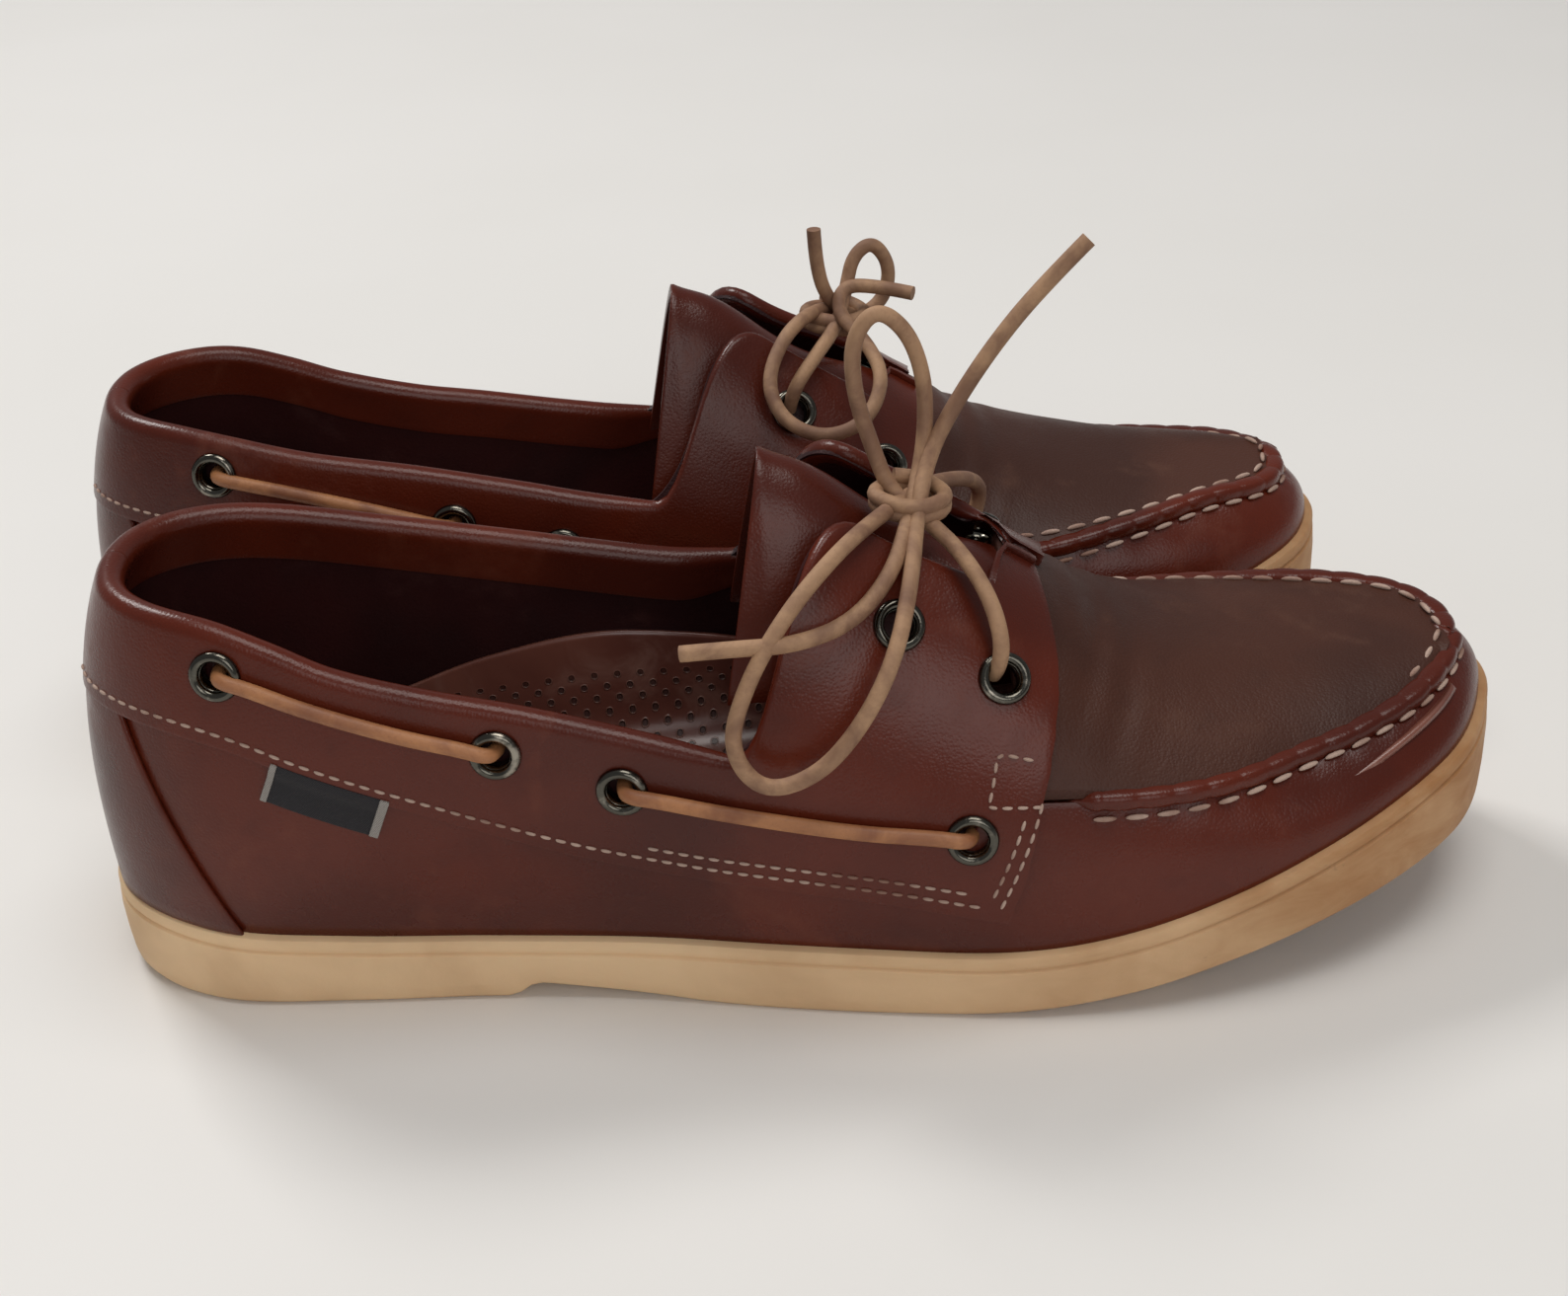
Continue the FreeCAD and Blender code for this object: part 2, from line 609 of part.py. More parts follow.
# Free lace ends of each bow, in that shoe's own place and standing the way it is worn:
# x towards the toe, -y towards the right-hand side of the pair, from the eyelet to the bare end.
RIGHT_KNOT = V(174, -6, 97.5)
LEFT_KNOT = V(182, -5, 98.5)
BOWS = {
    "right_bow_lace_lateral": ((188, -31, 71), (190, -34.5, 76), (189, -28, 84), (184, -19, 91), (177, -10, 95),
                               (170, -4, 99), (167, -2, 108), (164, -1, 119), (164, 0, 130), (169, 0, 136.5),
                               (175, 1, 131), (178, 2, 121), (178, 1, 110), (176, -3, 101), (173, -14, 96),
                               (169, -26.5, 91.5), (161, -35, 86.5), (150, -39.5, 85), (139, -40.5, 85.5),
                               (128, -39.5, 84.5)),
    "right_bow_lace_medial": ((188, 28, 73), (191, 31.5, 79), (189, 23, 87), (184, 12, 93), (178, 2, 97),
                              (169, -12, 98.5), (159, -27, 98), (148, -37.5, 90), (140, -44, 79), (136, -47.5, 67.5),
                              (142, -49, 58), (153, -48.5, 61), (162, -47, 71), (169, -41, 82),
                              (173, -27, 91), (175, -12, 97), (178, -2, 105), (184, 1, 115), (192, 3, 126),
                              (201, 5, 136), (211, 7, 145)),
    "left_bow_lace_medial": ((169, -25, 85), (170, -28, 91), (176, -21, 96), (182, -11, 99), (185, -3, 105),
                             (187, -1, 112), (192, 0, 115), (196, 1, 108), (194, 0, 100), (187, -3, 97),
                             (181, -5, 102), (178, -6, 111), (178, -6, 121)),
    "left_bow_lace_lateral": ((188, 30, 71), (190, 34, 76), (189, 26, 86), (186, 13, 93), (182, 0, 99),
                              (176, -11, 103), (169, -20, 101), (164, -29, 94), (167, -36, 87), (176, -39.5, 83.5),
                              (186, -38, 86), (191, -30, 93), (188, -20, 98), (182, -11, 102),
                              (184, -4, 106), (192, -6, 106), (200, -10, 105)),
}


def knot(centre):
    """Tight wrap of lace at the middle of a bow."""
    length, height = 13.0, 8.0
    block = Part.makeBox(length, height, height, centre - V(length / 2, height / 2, height / 2))
    return block.makeFillet(0.45 * height / 1.5, block.Edges)


def side_lace():
    """Lace held by the upper: through the side eyelets and the tunnel round the heel."""
    outside = FIT_GAP + LEATHER + LACE_DIAMETER / 2 + 0.3
    inside = -LEATHER - 0.7
    lead = 1.5
    route = []

    def hidden(side, share, height):
        at = place_of(side, share)
        turn = turn_at(at, height)
        return wrap(at, turn) + normal_of(wrap, at, turn) * inside

    def outside_run(first, second):
        (a, na), (b, nb) = first, second
        along = V(b - a).normalize()
        return [a + na * inside, a + na * outside + along * lead, b + nb * outside - along * lead, b + nb * inside]

    for side, order in (("lateral", (3, 2, 1, 0)), ("medial", (0, 1, 2, 3))):
        spots = [eyelet_spot(side, *SIDE_EYELETS[side][k]) for k in order]
        if side == "medial":
            for share, height in ((0.030, 82.0), (0.0, 84.0)):
                route.append(hidden("lateral", share, height))
            route.append(hidden("medial", 0.030, 82.0))
        route += outside_run(spots[0], spots[1])
        route += outside_run(spots[2], spots[3])
    return tube(route, LACE_DIAMETER, "side_lace")


def band_stitches(side):
    """Row of stitches just above the quarter's lower edge."""
    lift = 3.0
    start, end = (0.15, place_of(side, QUARTER_FRONT - 0.01))
    if side == "medial":
        start, end = end, len(STATIONS) - 0.15
    seat = FIT_GAP + LEATHER
    path = []
    for at in spread(start, end, 60):
        turn = band_turn(at, lift)
        normal = normal_of(wrap, at, turn)
        path.append(wrap(at, turn) + normal * seat)
    return dashes(path, 3.2, 0.7)


def seam_stitches():
    """Thick hand stitches on the wall just below the plug."""
    start, end = place_of("lateral", 0.71), place_of("medial", 0.71)
    path = []
    for at in spread(start, end, 70):
        turn = seam_turn(at) - 7
        normal = normal_of(wrap, at, turn)
        path.append(wrap(at, turn) + normal * 0.1)
    return dashes(path, 7.0, 0.7)


def label():
    """Plain woven tag sewn to the lateral wall below the band."""
    start, end = place_of("lateral", 0.155), place_of("lateral", 0.228)

    def low(at):
        return band_turn(at, -17.0)

    def high(at):
        return band_turn(at, -1.0)

    return panel(fixed(start), fixed(end), low, high, FIT_GAP, FIT_GAP + 0.8, 8, 4)


def right_shoe():
    """Every piece of the right shoe but its bow, by name, in the shoe's own frame."""
    side_spots = {side: [eyelet_spot(side, *spot) for spot in spots] for side, spots in SIDE_EYELETS.items()}
    front_spots = {side: [eyelet_spot(side, *spot) for spot in spots] for side, spots in FRONT_EYELETS.items()}
    holes = {side: eyelet_holes(side_spots[side] + front_spots[side]) for side in side_spots}
    all_holes = holes["lateral"] + holes["medial"]
    board_top = BOARD_THICKNESS + FIT_GAP
    skin = LEATHER + LINING + 4 * FIT_GAP
    depth = LEATHER + FIT_GAP
    inner = depth + PADDING + LINING_GAP

    def pad_low(at):
        return band_turn(at, 6.0)

    def stiff_high(at):
        return band_turn(at, 5.5)

    def stiff_low(at):
        return foot_turn(at, BOARD_THICKNESS + 1)

    def lining_low(at):
        return foot_turn(at, BOARD_THICKNESS + FOOTBED_THICKNESS + 1.6)

    def stay_high(at):
        return band_turn(at, -2 * FIT_GAP)

    rolled = [roll_line(side) for side in ("medial", "lateral")]
    roll_route = rolled[0] + rolled[1][::-1][1:]
    pieces = {
        "outsole": outsole(),
        "lasting_board": layer_on_sole(skin + PADDING, FIT_GAP, BOARD_THICKNESS),
        "footbed": layer_on_sole(skin + PADDING + 0.6, board_top, board_top + FOOTBED_THICKNESS),
        "wall": vamp_wall(),
        "backstay": backstay(stay_high),
        "plug": plug(),
        "lateral_quarter": drilled(quarter("lateral"), holes["lateral"]),
        "medial_quarter": drilled(quarter("medial"), holes["medial"]),
        "lateral_backing": drilled(backing("lateral"), holes["lateral"]),
        "medial_backing": drilled(backing("medial"), holes["medial"]),
        "collar_padding": drilled(round_heel(0.50, pad_low, panel_top, -depth - PADDING, -depth, 46), all_holes),
        "heel_stiffener": round_heel(0.20, stiff_low, stiff_high, -depth - PADDING, -depth, 24),
        "quarter_lining": drilled(round_heel(0.63, lining_low, panel_top, -inner - LINING, -inner, 56, 9), all_holes),
        "toe_lining": toe_lining(),
        "collar_roll": tube(roll_route, 2 * ROLL_RADIUS, "collar_roll"),
        "throat_bridge": throat_bridge(),
        "tongue_root": tongue(TONGUE_FOLD + TONGUE_FOLD_GAP / UPPER_LENGTH, TONGUE_FRONT, 0.012, 0.0),
        "tongue_flap": tongue(0.490, TONGUE_FOLD, -0.028, -0.025),
        "side_eyelets": Part.makeCompound([eyelet(*spot) for side in side_spots for spot in side_spots[side]]),
        "front_eyelets": Part.makeCompound([eyelet(*spot) for side in front_spots for spot in front_spots[side]]),
        "side_lace": side_lace(),
        "seam_stitches": Part.makeCompound(seam_stitches()),
        "band_stitches": Part.makeCompound(band_stitches("lateral") + band_stitches("medial")),
        "label": label(),
    }
    return pieces


def roll_line(side):
    """Centre line of the collar roll on one side, from its front end back to the heel."""
    points = []
    shares = spread(ROLL_END, 0.02, 9) + [0.0]
    for share in shares:
        at = place_of(side, share) if share > 0 else 0.0
        turn = turn_at(at, rim_height(at) - ROLL_RADIUS)
        points.append(wrap(at, turn) + normal_of(wrap, at, turn) * (LEATHER - ROLL_RADIUS + 0.2))
    return points


def backstay(high):
    """Leather piece over the back of the heel, narrower at its top, under the band's edge."""
    count = len(STATIONS)

    def medial(v):
        return place_of("medial", BACKSTAY_LOW + (BACKSTAY_HIGH - BACKSTAY_LOW) * v)

    def lateral(v):
        return count + place_of("lateral", BACKSTAY_LOW + (BACKSTAY_HIGH - BACKSTAY_LOW) * v)

    return panel(medial, lateral, foot_turn, high, FIT_GAP, FIT_GAP + 1.2, 24, 9)


def stand_left(shape):
    """Shape of the left shoe's own frame, set down beside the right shoe."""
    shape = shape.copy()
    shape.rotate(V(0, 0, 0), V(0, 0, 1), TOE_OUT)
    return shape.translated(V(-STAGGER, HEEL_PITCH, 0))


def build():
    """Make both shoes, set them side by side on the floor about the origin and save each piece."""
    os.makedirs("parts", exist_ok=True)
    right = right_shoe()
    shoes = {"right_" + name: shape for name, shape in right.items()}
    for name, shape in right.items():
        shoes["left_" + name] = stand_left(shape.mirror(V(0, 0, 0), V(0, 1, 0)))
    box = FreeCAD.BoundBox()
    for shape in shoes.values():
        box.add(shape.optimalBoundingBox(True, False))
    centre = V(-(box.XMin + box.XMax) / 2, -(box.YMin + box.YMax) / 2, -box.ZMin)
    print("centred by", centre, "size", box.XLength, box.YLength, box.ZLength)
    shoes["right_knot"] = knot(RIGHT_KNOT)
    shoes["left_knot"] = stand_left(knot(LEFT_KNOT))
    for name, points in BOWS.items():
        lace = tube([V(*p) for p in points], LACE_DIAMETER, name)
        shoes[name] = stand_left(lace) if name.startswith("left") else lace
    for name, shape in shoes.items():
        placed = shape.translated(centre)
        if not placed.isValid() or any(solid.Volume <= 0 for solid in placed.Solids):
            print("check this piece:", name, placed.isValid(), [s.Volume for s in placed.Solids][:3])
        placed.exportStep("parts/" + name + ".step")


build()
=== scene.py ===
"""A pair of low leather deck shoes on moulded rubber soles, dressed round its CAD frame.

Each shoe is drawn in its own frame in millimetres: x runs from heel to toe, +y points to the medial
(inner) side of the right shoe and +z is up from the floor. A Stand carries a finished piece to the
pair's frame in metres; the left shoe is the mirror image of the right one.
"""
import logging
import math
from dataclasses import dataclass
from enum import Enum
from typing import Callable, Iterable, Sequence

import bpy
from mathutils import Matrix, Vector


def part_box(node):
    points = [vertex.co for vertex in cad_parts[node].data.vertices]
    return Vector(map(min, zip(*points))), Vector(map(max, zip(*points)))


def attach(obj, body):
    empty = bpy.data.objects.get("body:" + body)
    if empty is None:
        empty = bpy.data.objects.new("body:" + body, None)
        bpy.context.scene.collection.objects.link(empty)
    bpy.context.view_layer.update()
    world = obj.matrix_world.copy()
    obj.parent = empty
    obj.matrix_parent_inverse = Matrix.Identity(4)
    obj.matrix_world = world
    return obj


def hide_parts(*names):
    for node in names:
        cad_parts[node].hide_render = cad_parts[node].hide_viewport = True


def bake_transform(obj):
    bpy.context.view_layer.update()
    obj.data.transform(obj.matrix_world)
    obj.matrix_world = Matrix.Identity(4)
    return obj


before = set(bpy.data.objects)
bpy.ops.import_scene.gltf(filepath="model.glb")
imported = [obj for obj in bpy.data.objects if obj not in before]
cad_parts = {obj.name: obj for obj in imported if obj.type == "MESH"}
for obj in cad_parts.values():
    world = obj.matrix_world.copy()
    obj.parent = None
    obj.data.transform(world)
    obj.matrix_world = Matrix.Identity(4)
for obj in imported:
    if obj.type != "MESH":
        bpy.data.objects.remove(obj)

LOG = logging.getLogger("deck_shoes")
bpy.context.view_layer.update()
MM = 0.001
PUNCH_DEPTH = 6.4
STITCH_PITCH = 3.1
STITCH_FILL = 0.72
FLOOR_SIZE = 12.0
LIGHTS_AIM = Vector((0, 0, 0.05))

Row = tuple[float, ...]
Surface = Callable[[float, float], Vector]
Colour = tuple[float, float, float]


class Side(Enum):
    """Side of one shoe: the outer one or the one that faces the other shoe."""

    LATERAL = -1
    MEDIAL = 1


class Foot(Enum):
    """Which shoe of the pair."""

    RIGHT = "right"
    LEFT = "left"


def profile(points: Sequence[Row], at: float) -> float:
    """Read a smooth curve through a list of (place, height) rows.

    Args:
        points: rows in order of place.
        at: the place to read.

    Returns:
        The height there, held level past both ends.
    """
    if at <= points[0][0]:
        return points[0][1]
    if at >= points[-1][0]:
        return points[-1][1]
    last = len(points) - 1
    i = max(k for k in range(last) if points[k][0] <= at)

    def slope(k: int) -> float:
        """Slope of the curve at row k."""
        low, high = points[max(k - 1, 0)], points[min(k + 1, last)]
        return (high[1] - low[1]) / (high[0] - low[0])

    span = points[i + 1][0] - points[i][0]
    t = (at - points[i][0]) / span
    rise = (2 * t**3 - 3 * t**2 + 1) * points[i][1] + (3 * t**2 - 2 * t**3) * points[i + 1][1]
    return rise + span * ((t**3 - 2 * t**2 + t) * slope(i) + (t**3 - t**2) * slope(i + 1))


def ease(value: float) -> float:
    """Go smoothly from 0 to 1 as the value does."""
    t = min(max(value, 0.0), 1.0)
    return t * t * (3 - 2 * t)


def spread(low: float, high: float, count: int) -> list[float]:
    """Evenly spaced numbers from low to high."""
    return [low + (high - low) * k / (count - 1) for k in range(count)]


# Stations round the last, heel centre first, then lateral side, toe and medial side. Columns:
# feather x (share of length), feather y (share of half ball width), spine x (share), spine height,
# squareness of the section, outward bulge.
STATIONS: tuple[Row, ...] = (
    (0.000, 0.00, 0.130, 112.0, 2.4, 0.8),
    (0.020, -0.36, 0.132, 118.0, 2.4, 1.2),
    (0.085, -0.60, 0.150, 140.0, 2.4, 2.0),
    (0.180, -0.655, 0.190, 162.0, 2.4, 3.0),
    (0.280, -0.675, 0.280, 158.0, 2.3, 3.0),
    (0.380, -0.735, 0.375, 146.0, 2.2, 2.5),
    (0.480, -0.850, 0.470, 122.0, 2.1, 2.0),
    (0.570, -0.940, 0.560, 99.0, 2.0, 1.5),
    (0.660, -1.000, 0.645, 85.0, 2.0, 1.0),
    (0.750, -0.980, 0.720, 69.0, 2.1, 0.8),
    (0.835, -0.870, 0.795, 54.0, 2.2, 0.6),
    (0.905, -0.680, 0.845, 52.0, 2.2, 0.6),
    (0.960, -0.410, 0.875, 53.5, 2.2, 0.6),
    (0.990, -0.070, 0.885, 56.0, 2.2, 0.6),
    (0.998, 0.250, 0.885, 58.0, 2.2, 0.6),
    (0.972, 0.580, 0.870, 60.0, 2.2, 0.6),
    (0.910, 0.800, 0.840, 61.5, 2.2, 0.6),
    (0.820, 0.915, 0.780, 64.0, 2.3, 0.8),
    (0.720, 0.940, 0.705, 74.0, 2.2, 1.0),
    (0.620, 0.895, 0.610, 91.0, 2.1, 1.5),
    (0.520, 0.790, 0.515, 112.0, 2.1, 2.0),
    (0.400, 0.670, 0.400, 142.0, 2.2, 2.5),
    (0.290, 0.620, 0.290, 157.0, 2.3, 3.0),
    (0.180, 0.605, 0.190, 162.0, 2.4, 3.0),
    (0.085, 0.530, 0.150, 140.0, 2.4, 2.0),
    (0.022, 0.330, 0.132, 118.0, 2.4, 1.2),
)
TOE = 13.5
LAPS = len(STATIONS)
SOLE_TOP: tuple[Row, ...] = (
    (0.0, 21.0), (0.06, 19.2), (0.12, 17.3), (0.22, 15.8), (0.32, 15.1), (0.44, 15.4), (0.54, 15.4),
    (0.62, 15.2), (0.68, 16.4), (0.74, 19.8), (0.80, 25.0), (0.87, 32.0), (0.94, 38.5), (1.0, 42.5))
SOLE_BOTTOM: tuple[Row, ...] = (
    (0.0, 3.0), (0.02, 1.0), (0.05, 0.0), (0.29, 0.0), (0.308, 3.5), (0.43, 0.0), (0.59, 0.0),
    (0.66, 1.2),
    (0.73, 4.5), (0.80, 9.5), (0.87, 14.5), (0.94, 18.5), (1.0, 21.0))
RIM = {
    Side.LATERAL: ((0.0, 94.0), (0.08, 92.5), (0.12, 90.5), (0.16, 86.0), (0.20, 80.5),
                   (0.26, 75.0),
                   (0.32, 71.0), (0.38, 66.5), (0.46, 60.5)),
    Side.MEDIAL: ((0.0, 94.0), (0.08, 92.5), (0.13, 90.0), (0.20, 85.0), (0.28, 80.0), (0.36, 74.5),
                  (0.41, 71.0), (0.46, 68.5)),
}
BAND: tuple[Row, ...] = (
    (0.0, 69.5), (0.05, 69.0), (0.09, 67.5), (0.13, 64.0), (0.17, 58.5), (0.23, 51.0),
    (0.295, 43.5),
    (0.36, 37.2), (0.43, 33.2), (0.49, 31.0), (0.56, 28.2), (0.64, 24.0), (0.70, 21.5))
SEAM = {
    Side.LATERAL: ((0.66, 47.2), (0.76, 45.8), (0.84, 46.0), (0.92, 48.2), (1.0, 52.0)),
    Side.MEDIAL: ((0.66, 48.0), (0.75, 48.5), (0.84, 51.5), (0.92, 54.0), (1.0, 53.0)),
}
PLUG_CREST: tuple[Row, ...] = (
    (0.64, 81.5), (0.66, 78.0), (0.68, 74.0), (0.73, 64.5), (0.78, 58.5), (0.84, 55.0),
    (0.90, 53.5), (1.0, 53.0))
TONGUE_RIDGE: tuple[Row, ...] = (
    (0.49, 108.5), (0.53, 100.5), (0.567, 91.5), (0.60, 86.0), (0.65, 79.5), (0.70, 73.0))
TONGUE_ARCH: tuple[Row, ...] = ((0.49, 0.090), (0.56, 0.060), (0.62, 0.035), (0.70, 0.018))
SIDE_EYELETS = {
    Side.LATERAL: ((0.125, 80.5), (0.304, 62.0), (0.387, 53.5), (0.618, 42.5)),
    Side.MEDIAL: ((0.125, 81.5), (0.304, 66.0), (0.387, 58.5), (0.618, 46.0)),
}
FRONT_EYELETS = {
    Side.LATERAL: ((0.643, 70.0), (0.575, 81.0)),
    Side.MEDIAL: ((0.643, 70.5), (0.575, 84.0)),
}


@dataclass(frozen=True)
class Last:
    """The form that both uppers are drawn over, with the lines that panels end on."""

    length: float = 295.0
    half_ball: float = 48.0
    bulge_height: float = 78.0
    quarter_front: float = 0.640
    saddle_bow: float = 0.050
    rim_end: float = 0.465
    roll_end: float = 0.415
    throat_rear: float = 0.560
    throat_front: float = 0.646
    eyestay_top: float = 69.0
    roll: float = 3.0
    edge_roll: float = 2.0
    leather: float = 1.8
    gap: float = 0.05
    plug_leather: float = 2.2
    roll_fade: float = 0.06
    throat_fade: float = 0.022
    flat_edge: float = 0.35
    bridge_top: float = 89.0
    crown: float = 2.4
    narrowest_plug: float = 6.0
    past_seam: float = 1.15

    def station(self, at: float) -> list[float]:
        """Columns of the station table at any place round the last."""
        i = math.floor(at)
        t = at - i
        rows = [STATIONS[(i + k) % LAPS] for k in (-1, 0, 1, 2)]
        return [
            b + 0.5 * t * (c - a + t * (2 * a - 5 * b + 4 * c - d + t * (3 * (b - c) + d - a)))
            for a, b, c, d in zip(*rows)
        ]

    def share(self, at: float) -> float:
        """Share of the length that a station place stands at."""
        return self.station(at)[0]

    def feather(self, at: float) -> Vector:
        """Point where the upper meets the sole."""
        x, y = self.station(at)[:2]
        return Vector((x * self.length, y * self.half_ball, profile(SOLE_TOP, x)))

    def wrap(self, at: float, turn: float) -> Vector:
        """Point of the upper's outer surface.

        Args:
            at: station place round the last.
            turn: degrees up the section, 0 at the feather line and 90 at the spine.

        Returns:
            The point in the shoe's own frame.
        """
        _, _, spine, top, square, bulge = self.station(at)
        foot = self.feather(at)
        ridge_x = spine * self.length
        angle = math.radians(turn)
        out = max(math.cos(angle), 0.0) ** (2 / square)
        rise = math.copysign(abs(math.sin(angle)) ** (2 / square), angle)
        z = foot.z + (top - foot.z) * rise
        swell = bulge * math.sin(math.pi * min((z - foot.z) / self.bulge_height, 1.0))
        away = Vector((foot.x - ridge_x, foot.y, 0)).normalized() * swell
        return Vector((ridge_x + (foot.x - ridge_x) * out + away.x, foot.y * out + away.y, z))

    def normal(self, at: float, turn: float) -> Vector:
        """Outward unit normal of the upper."""
        along = self.wrap(at + 0.02, turn) - self.wrap(at - 0.02, turn)
        return along.cross(self.rise(at, turn)).normalized()

    def rise(self, at: float, turn: float) -> Vector:
        """Unit direction up the section."""
        return (self.wrap(at, turn + 0.02) - self.wrap(at, turn - 0.02)).normalized()

    def out(self, at: float, turn: float, lift: float) -> Vector:
        """Point lifted off the upper's surface."""
        return self.wrap(at, turn) + self.normal(at, turn) * lift

    def turn_at(self, at: float, height: float) -> float:
        """Turn at which the upper reaches a height."""
        x, _, _, top, square, _ = self.station(at)
        foot = profile(SOLE_TOP, x)
        share = min(max((height - foot) / (top - foot), 0.0), 1.0)
        return math.degrees(math.asin(share ** (square / 2)))

    def place(self, side: Side, share: float) -> float:
        """Station place on one side that stands at a share of the length."""
        low, high = (0.0, TOE) if side is Side.LATERAL else (float(LAPS), TOE)
        for _ in range(30):
            middle = (low + high) / 2
            if self.share(middle) < share:
                low = middle
            else:
                high = middle
        return (low + high) / 2

    def side(self, at: float) -> Side:
        """Side of the shoe that a station place is on."""
        return Side.LATERAL if at % LAPS <= TOE else Side.MEDIAL

    def rim(self, at: float) -> float:
        """Height of the topline."""
        return profile(RIM[self.side(at)], self.share(at))

    def roll_radius(self, at: float) -> float:
        """Radius of the upper's rolled top edge, fuller round the collar than at the throat."""
        share = self.share(at)
        thinned = ease((share - self.roll_end) / self.roll_fade)
        radius = self.roll + (self.edge_roll - self.roll) * thinned
        return radius - (radius - self.flat_edge) * self.bridge(share)

    def bridge(self, share: float) -> float:
        """How far the quarters have closed into the bridge in front of the throat, 0 to 1."""
        return ease((share - self.throat_front) / self.throat_fade)

    def band(self, at: float, lift: float = 0.0) -> float:
        """Turn of the quarters' lower edge."""
        return self.turn_at(at, profile(BAND, self.share(at)) + lift)

    def seam(self, at: float) -> float:
        """Turn of the seam between wall and plug."""
        return self.turn_at(at, profile(SEAM[self.side(at)], self.share(at)))

    def seam_point(self, at: float) -> Vector:
        """Point of the plug seam."""
        return self.wrap(at, self.seam(at))

    def shoulder(self, at: float) -> float:
        """Turn where the quarters' face ends and its rolled top edge begins."""
        share = self.share(at)
        rim = self.turn_at(at, self.rim(at) - self.roll_radius(at))
        throat = ease((share - self.rim_end) / (self.throat_rear - self.rim_end))
        stay = self.eyestay_top + (self.bridge_top - self.eyestay_top) * self.bridge(share)
        return rim + (stay - rim) * throat

    def plug_side(self, side: Side, x: float) -> float:
        """Sideways place of the plug seam at x."""
        low, high = self.place(side, self.quarter_front - 0.03), TOE
        for _ in range(24):
            middle = (low + high) / 2
            if self.seam_point(middle).x < x:
                low = middle
            else:
                high = middle
        return self.seam_point((low + high) / 2).y

    def plug_height(self, x: float, y: float, half: float) -> float:
        """Height of the plug's underside, which is crowned between its seams."""
        share = x / self.length
        edge = profile(SEAM[Side.LATERAL if y < 0 else Side.MEDIAL], share)
        crest = profile(PLUG_CREST, share)
        reach = min(abs(y) / max(half, self.narrowest_plug), self.past_seam)
        return crest - (crest - edge) * reach**self.crown


LAST = Last()
SHIFT = (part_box("right_knot")[0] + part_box("right_knot")[1]) / 2 - Vector((174.0, -6.0, 97.5)) * MM


@dataclass(frozen=True)
class Stand:
    """Where one shoe stands on the floor."""

    foot: Foot
    heel_pitch: float = 85.2
    stagger: float = 20.3
    toe_out: float = 3.07

    def matrix(self, mirrored: bool = True) -> Matrix:
        """Placing of the shoe's own frame in millimetres on the pair's frame in metres.

        Args:
            mirrored: whether a left piece was drawn as a right one.

        Returns:
            The matrix.
        """
        place = Matrix.Translation(SHIFT)
        if self.foot is Foot.LEFT:
            step = Vector((-self.stagger, self.heel_pitch, 0)) * MM
            turn = Matrix.Rotation(math.radians(self.toe_out), 4, "Z")
            place = place @ Matrix.Translation(step) @ turn
            if mirrored:
                place = place @ Matrix.Scale(-1, 4, (0, 1, 0))
        return place @ Matrix.Scale(MM, 4)

    @property
    def body(self) -> str:
        """Name of the shoe's body."""
        return f"{self.foot.value}_shoe"


# ---------------------------------------------------------------- modelling helpers


def activate(*pieces: bpy.types.Object) -> None:
    """Select only these pieces and make the first one active."""
    bpy.ops.object.select_all(action="DESELECT")
    for piece in pieces:
        piece.select_set(True)
    bpy.context.view_layer.objects.active = pieces[0]


def shape(piece: bpy.types.Object, kind: str, **settings: object) -> None:
    """Add a modifier, set it and apply it.

    Args:
        piece: the mesh to work on.
        kind: the modifier's type.
        settings: the modifier's own values.
    """
    activate(piece)
    modifier = piece.modifiers.new(kind.title(), kind)
    for key, value in settings.items():
        setattr(modifier, key, value)
    bpy.ops.object.modifier_apply(modifier=modifier.name)


def weld(piece: bpy.types.Object, reach: float = 0.01, outward: bool = True) -> None:
    """Merge points that lie on one another and, if asked, turn all faces outwards."""
    activate(piece)
    bpy.ops.object.mode_set(mode="EDIT")
    bpy.ops.mesh.select_all(action="SELECT")
    bpy.ops.mesh.remove_doubles(threshold=reach)
    if outward:
        bpy.ops.mesh.normals_make_consistent(inside=False)
    bpy.ops.object.mode_set(mode="OBJECT")


def smooth(piece: bpy.types.Object) -> None:
    """Shade a piece smooth."""
    activate(piece)
    bpy.ops.object.shade_smooth()


def lay_grid(name: str, surface: Surface, columns: int, rows: int) -> bpy.types.Object:
    """Lay a grid on a surface of two numbers from 0 to 1.

    Args:
        name: the piece's name.
        surface: gives the point for the two numbers.
        columns: faces along the first number.
        rows: faces along the second.

    Returns:
        The grid, which keeps its flat UV map.
    """
    bpy.ops.object.select_all(action="DESELECT")
    bpy.ops.mesh.primitive_grid_add(x_subdivisions=columns, y_subdivisions=rows, size=1.0)
    piece = bpy.context.object
    piece.name = name
    for vertex in piece.data.vertices:
        vertex.co = surface(vertex.co.x + 0.5, vertex.co.y + 0.5)
    return piece


def hide(name: str, surface: Surface, columns: int, rows: int, thick: float,
         edge: float = 0.45) -> bpy.types.Object:
    """Cut a piece of leather with rounded edges; the surface is its outer face.

    Args:
        name: the piece's name.
        surface: gives the outer face for two numbers from 0 to 1.
        columns: faces along the first number.
        rows: faces along the second.
        thick: the leather's thickness.
        edge: width of the rounding on its cut edges.

    Returns:
        The closed piece.
    """
    piece = lay_grid(name, surface, columns, rows)
    shape(piece, "SOLIDIFY", thickness=thick, offset=-1.0, use_even_offset=True,
          material_offset_rim=1)
    if edge:
        shape(piece, "BEVEL", width=edge, segments=2, limit_method="ANGLE",
              angle_limit=math.radians(50))
    smooth(piece)
    return piece


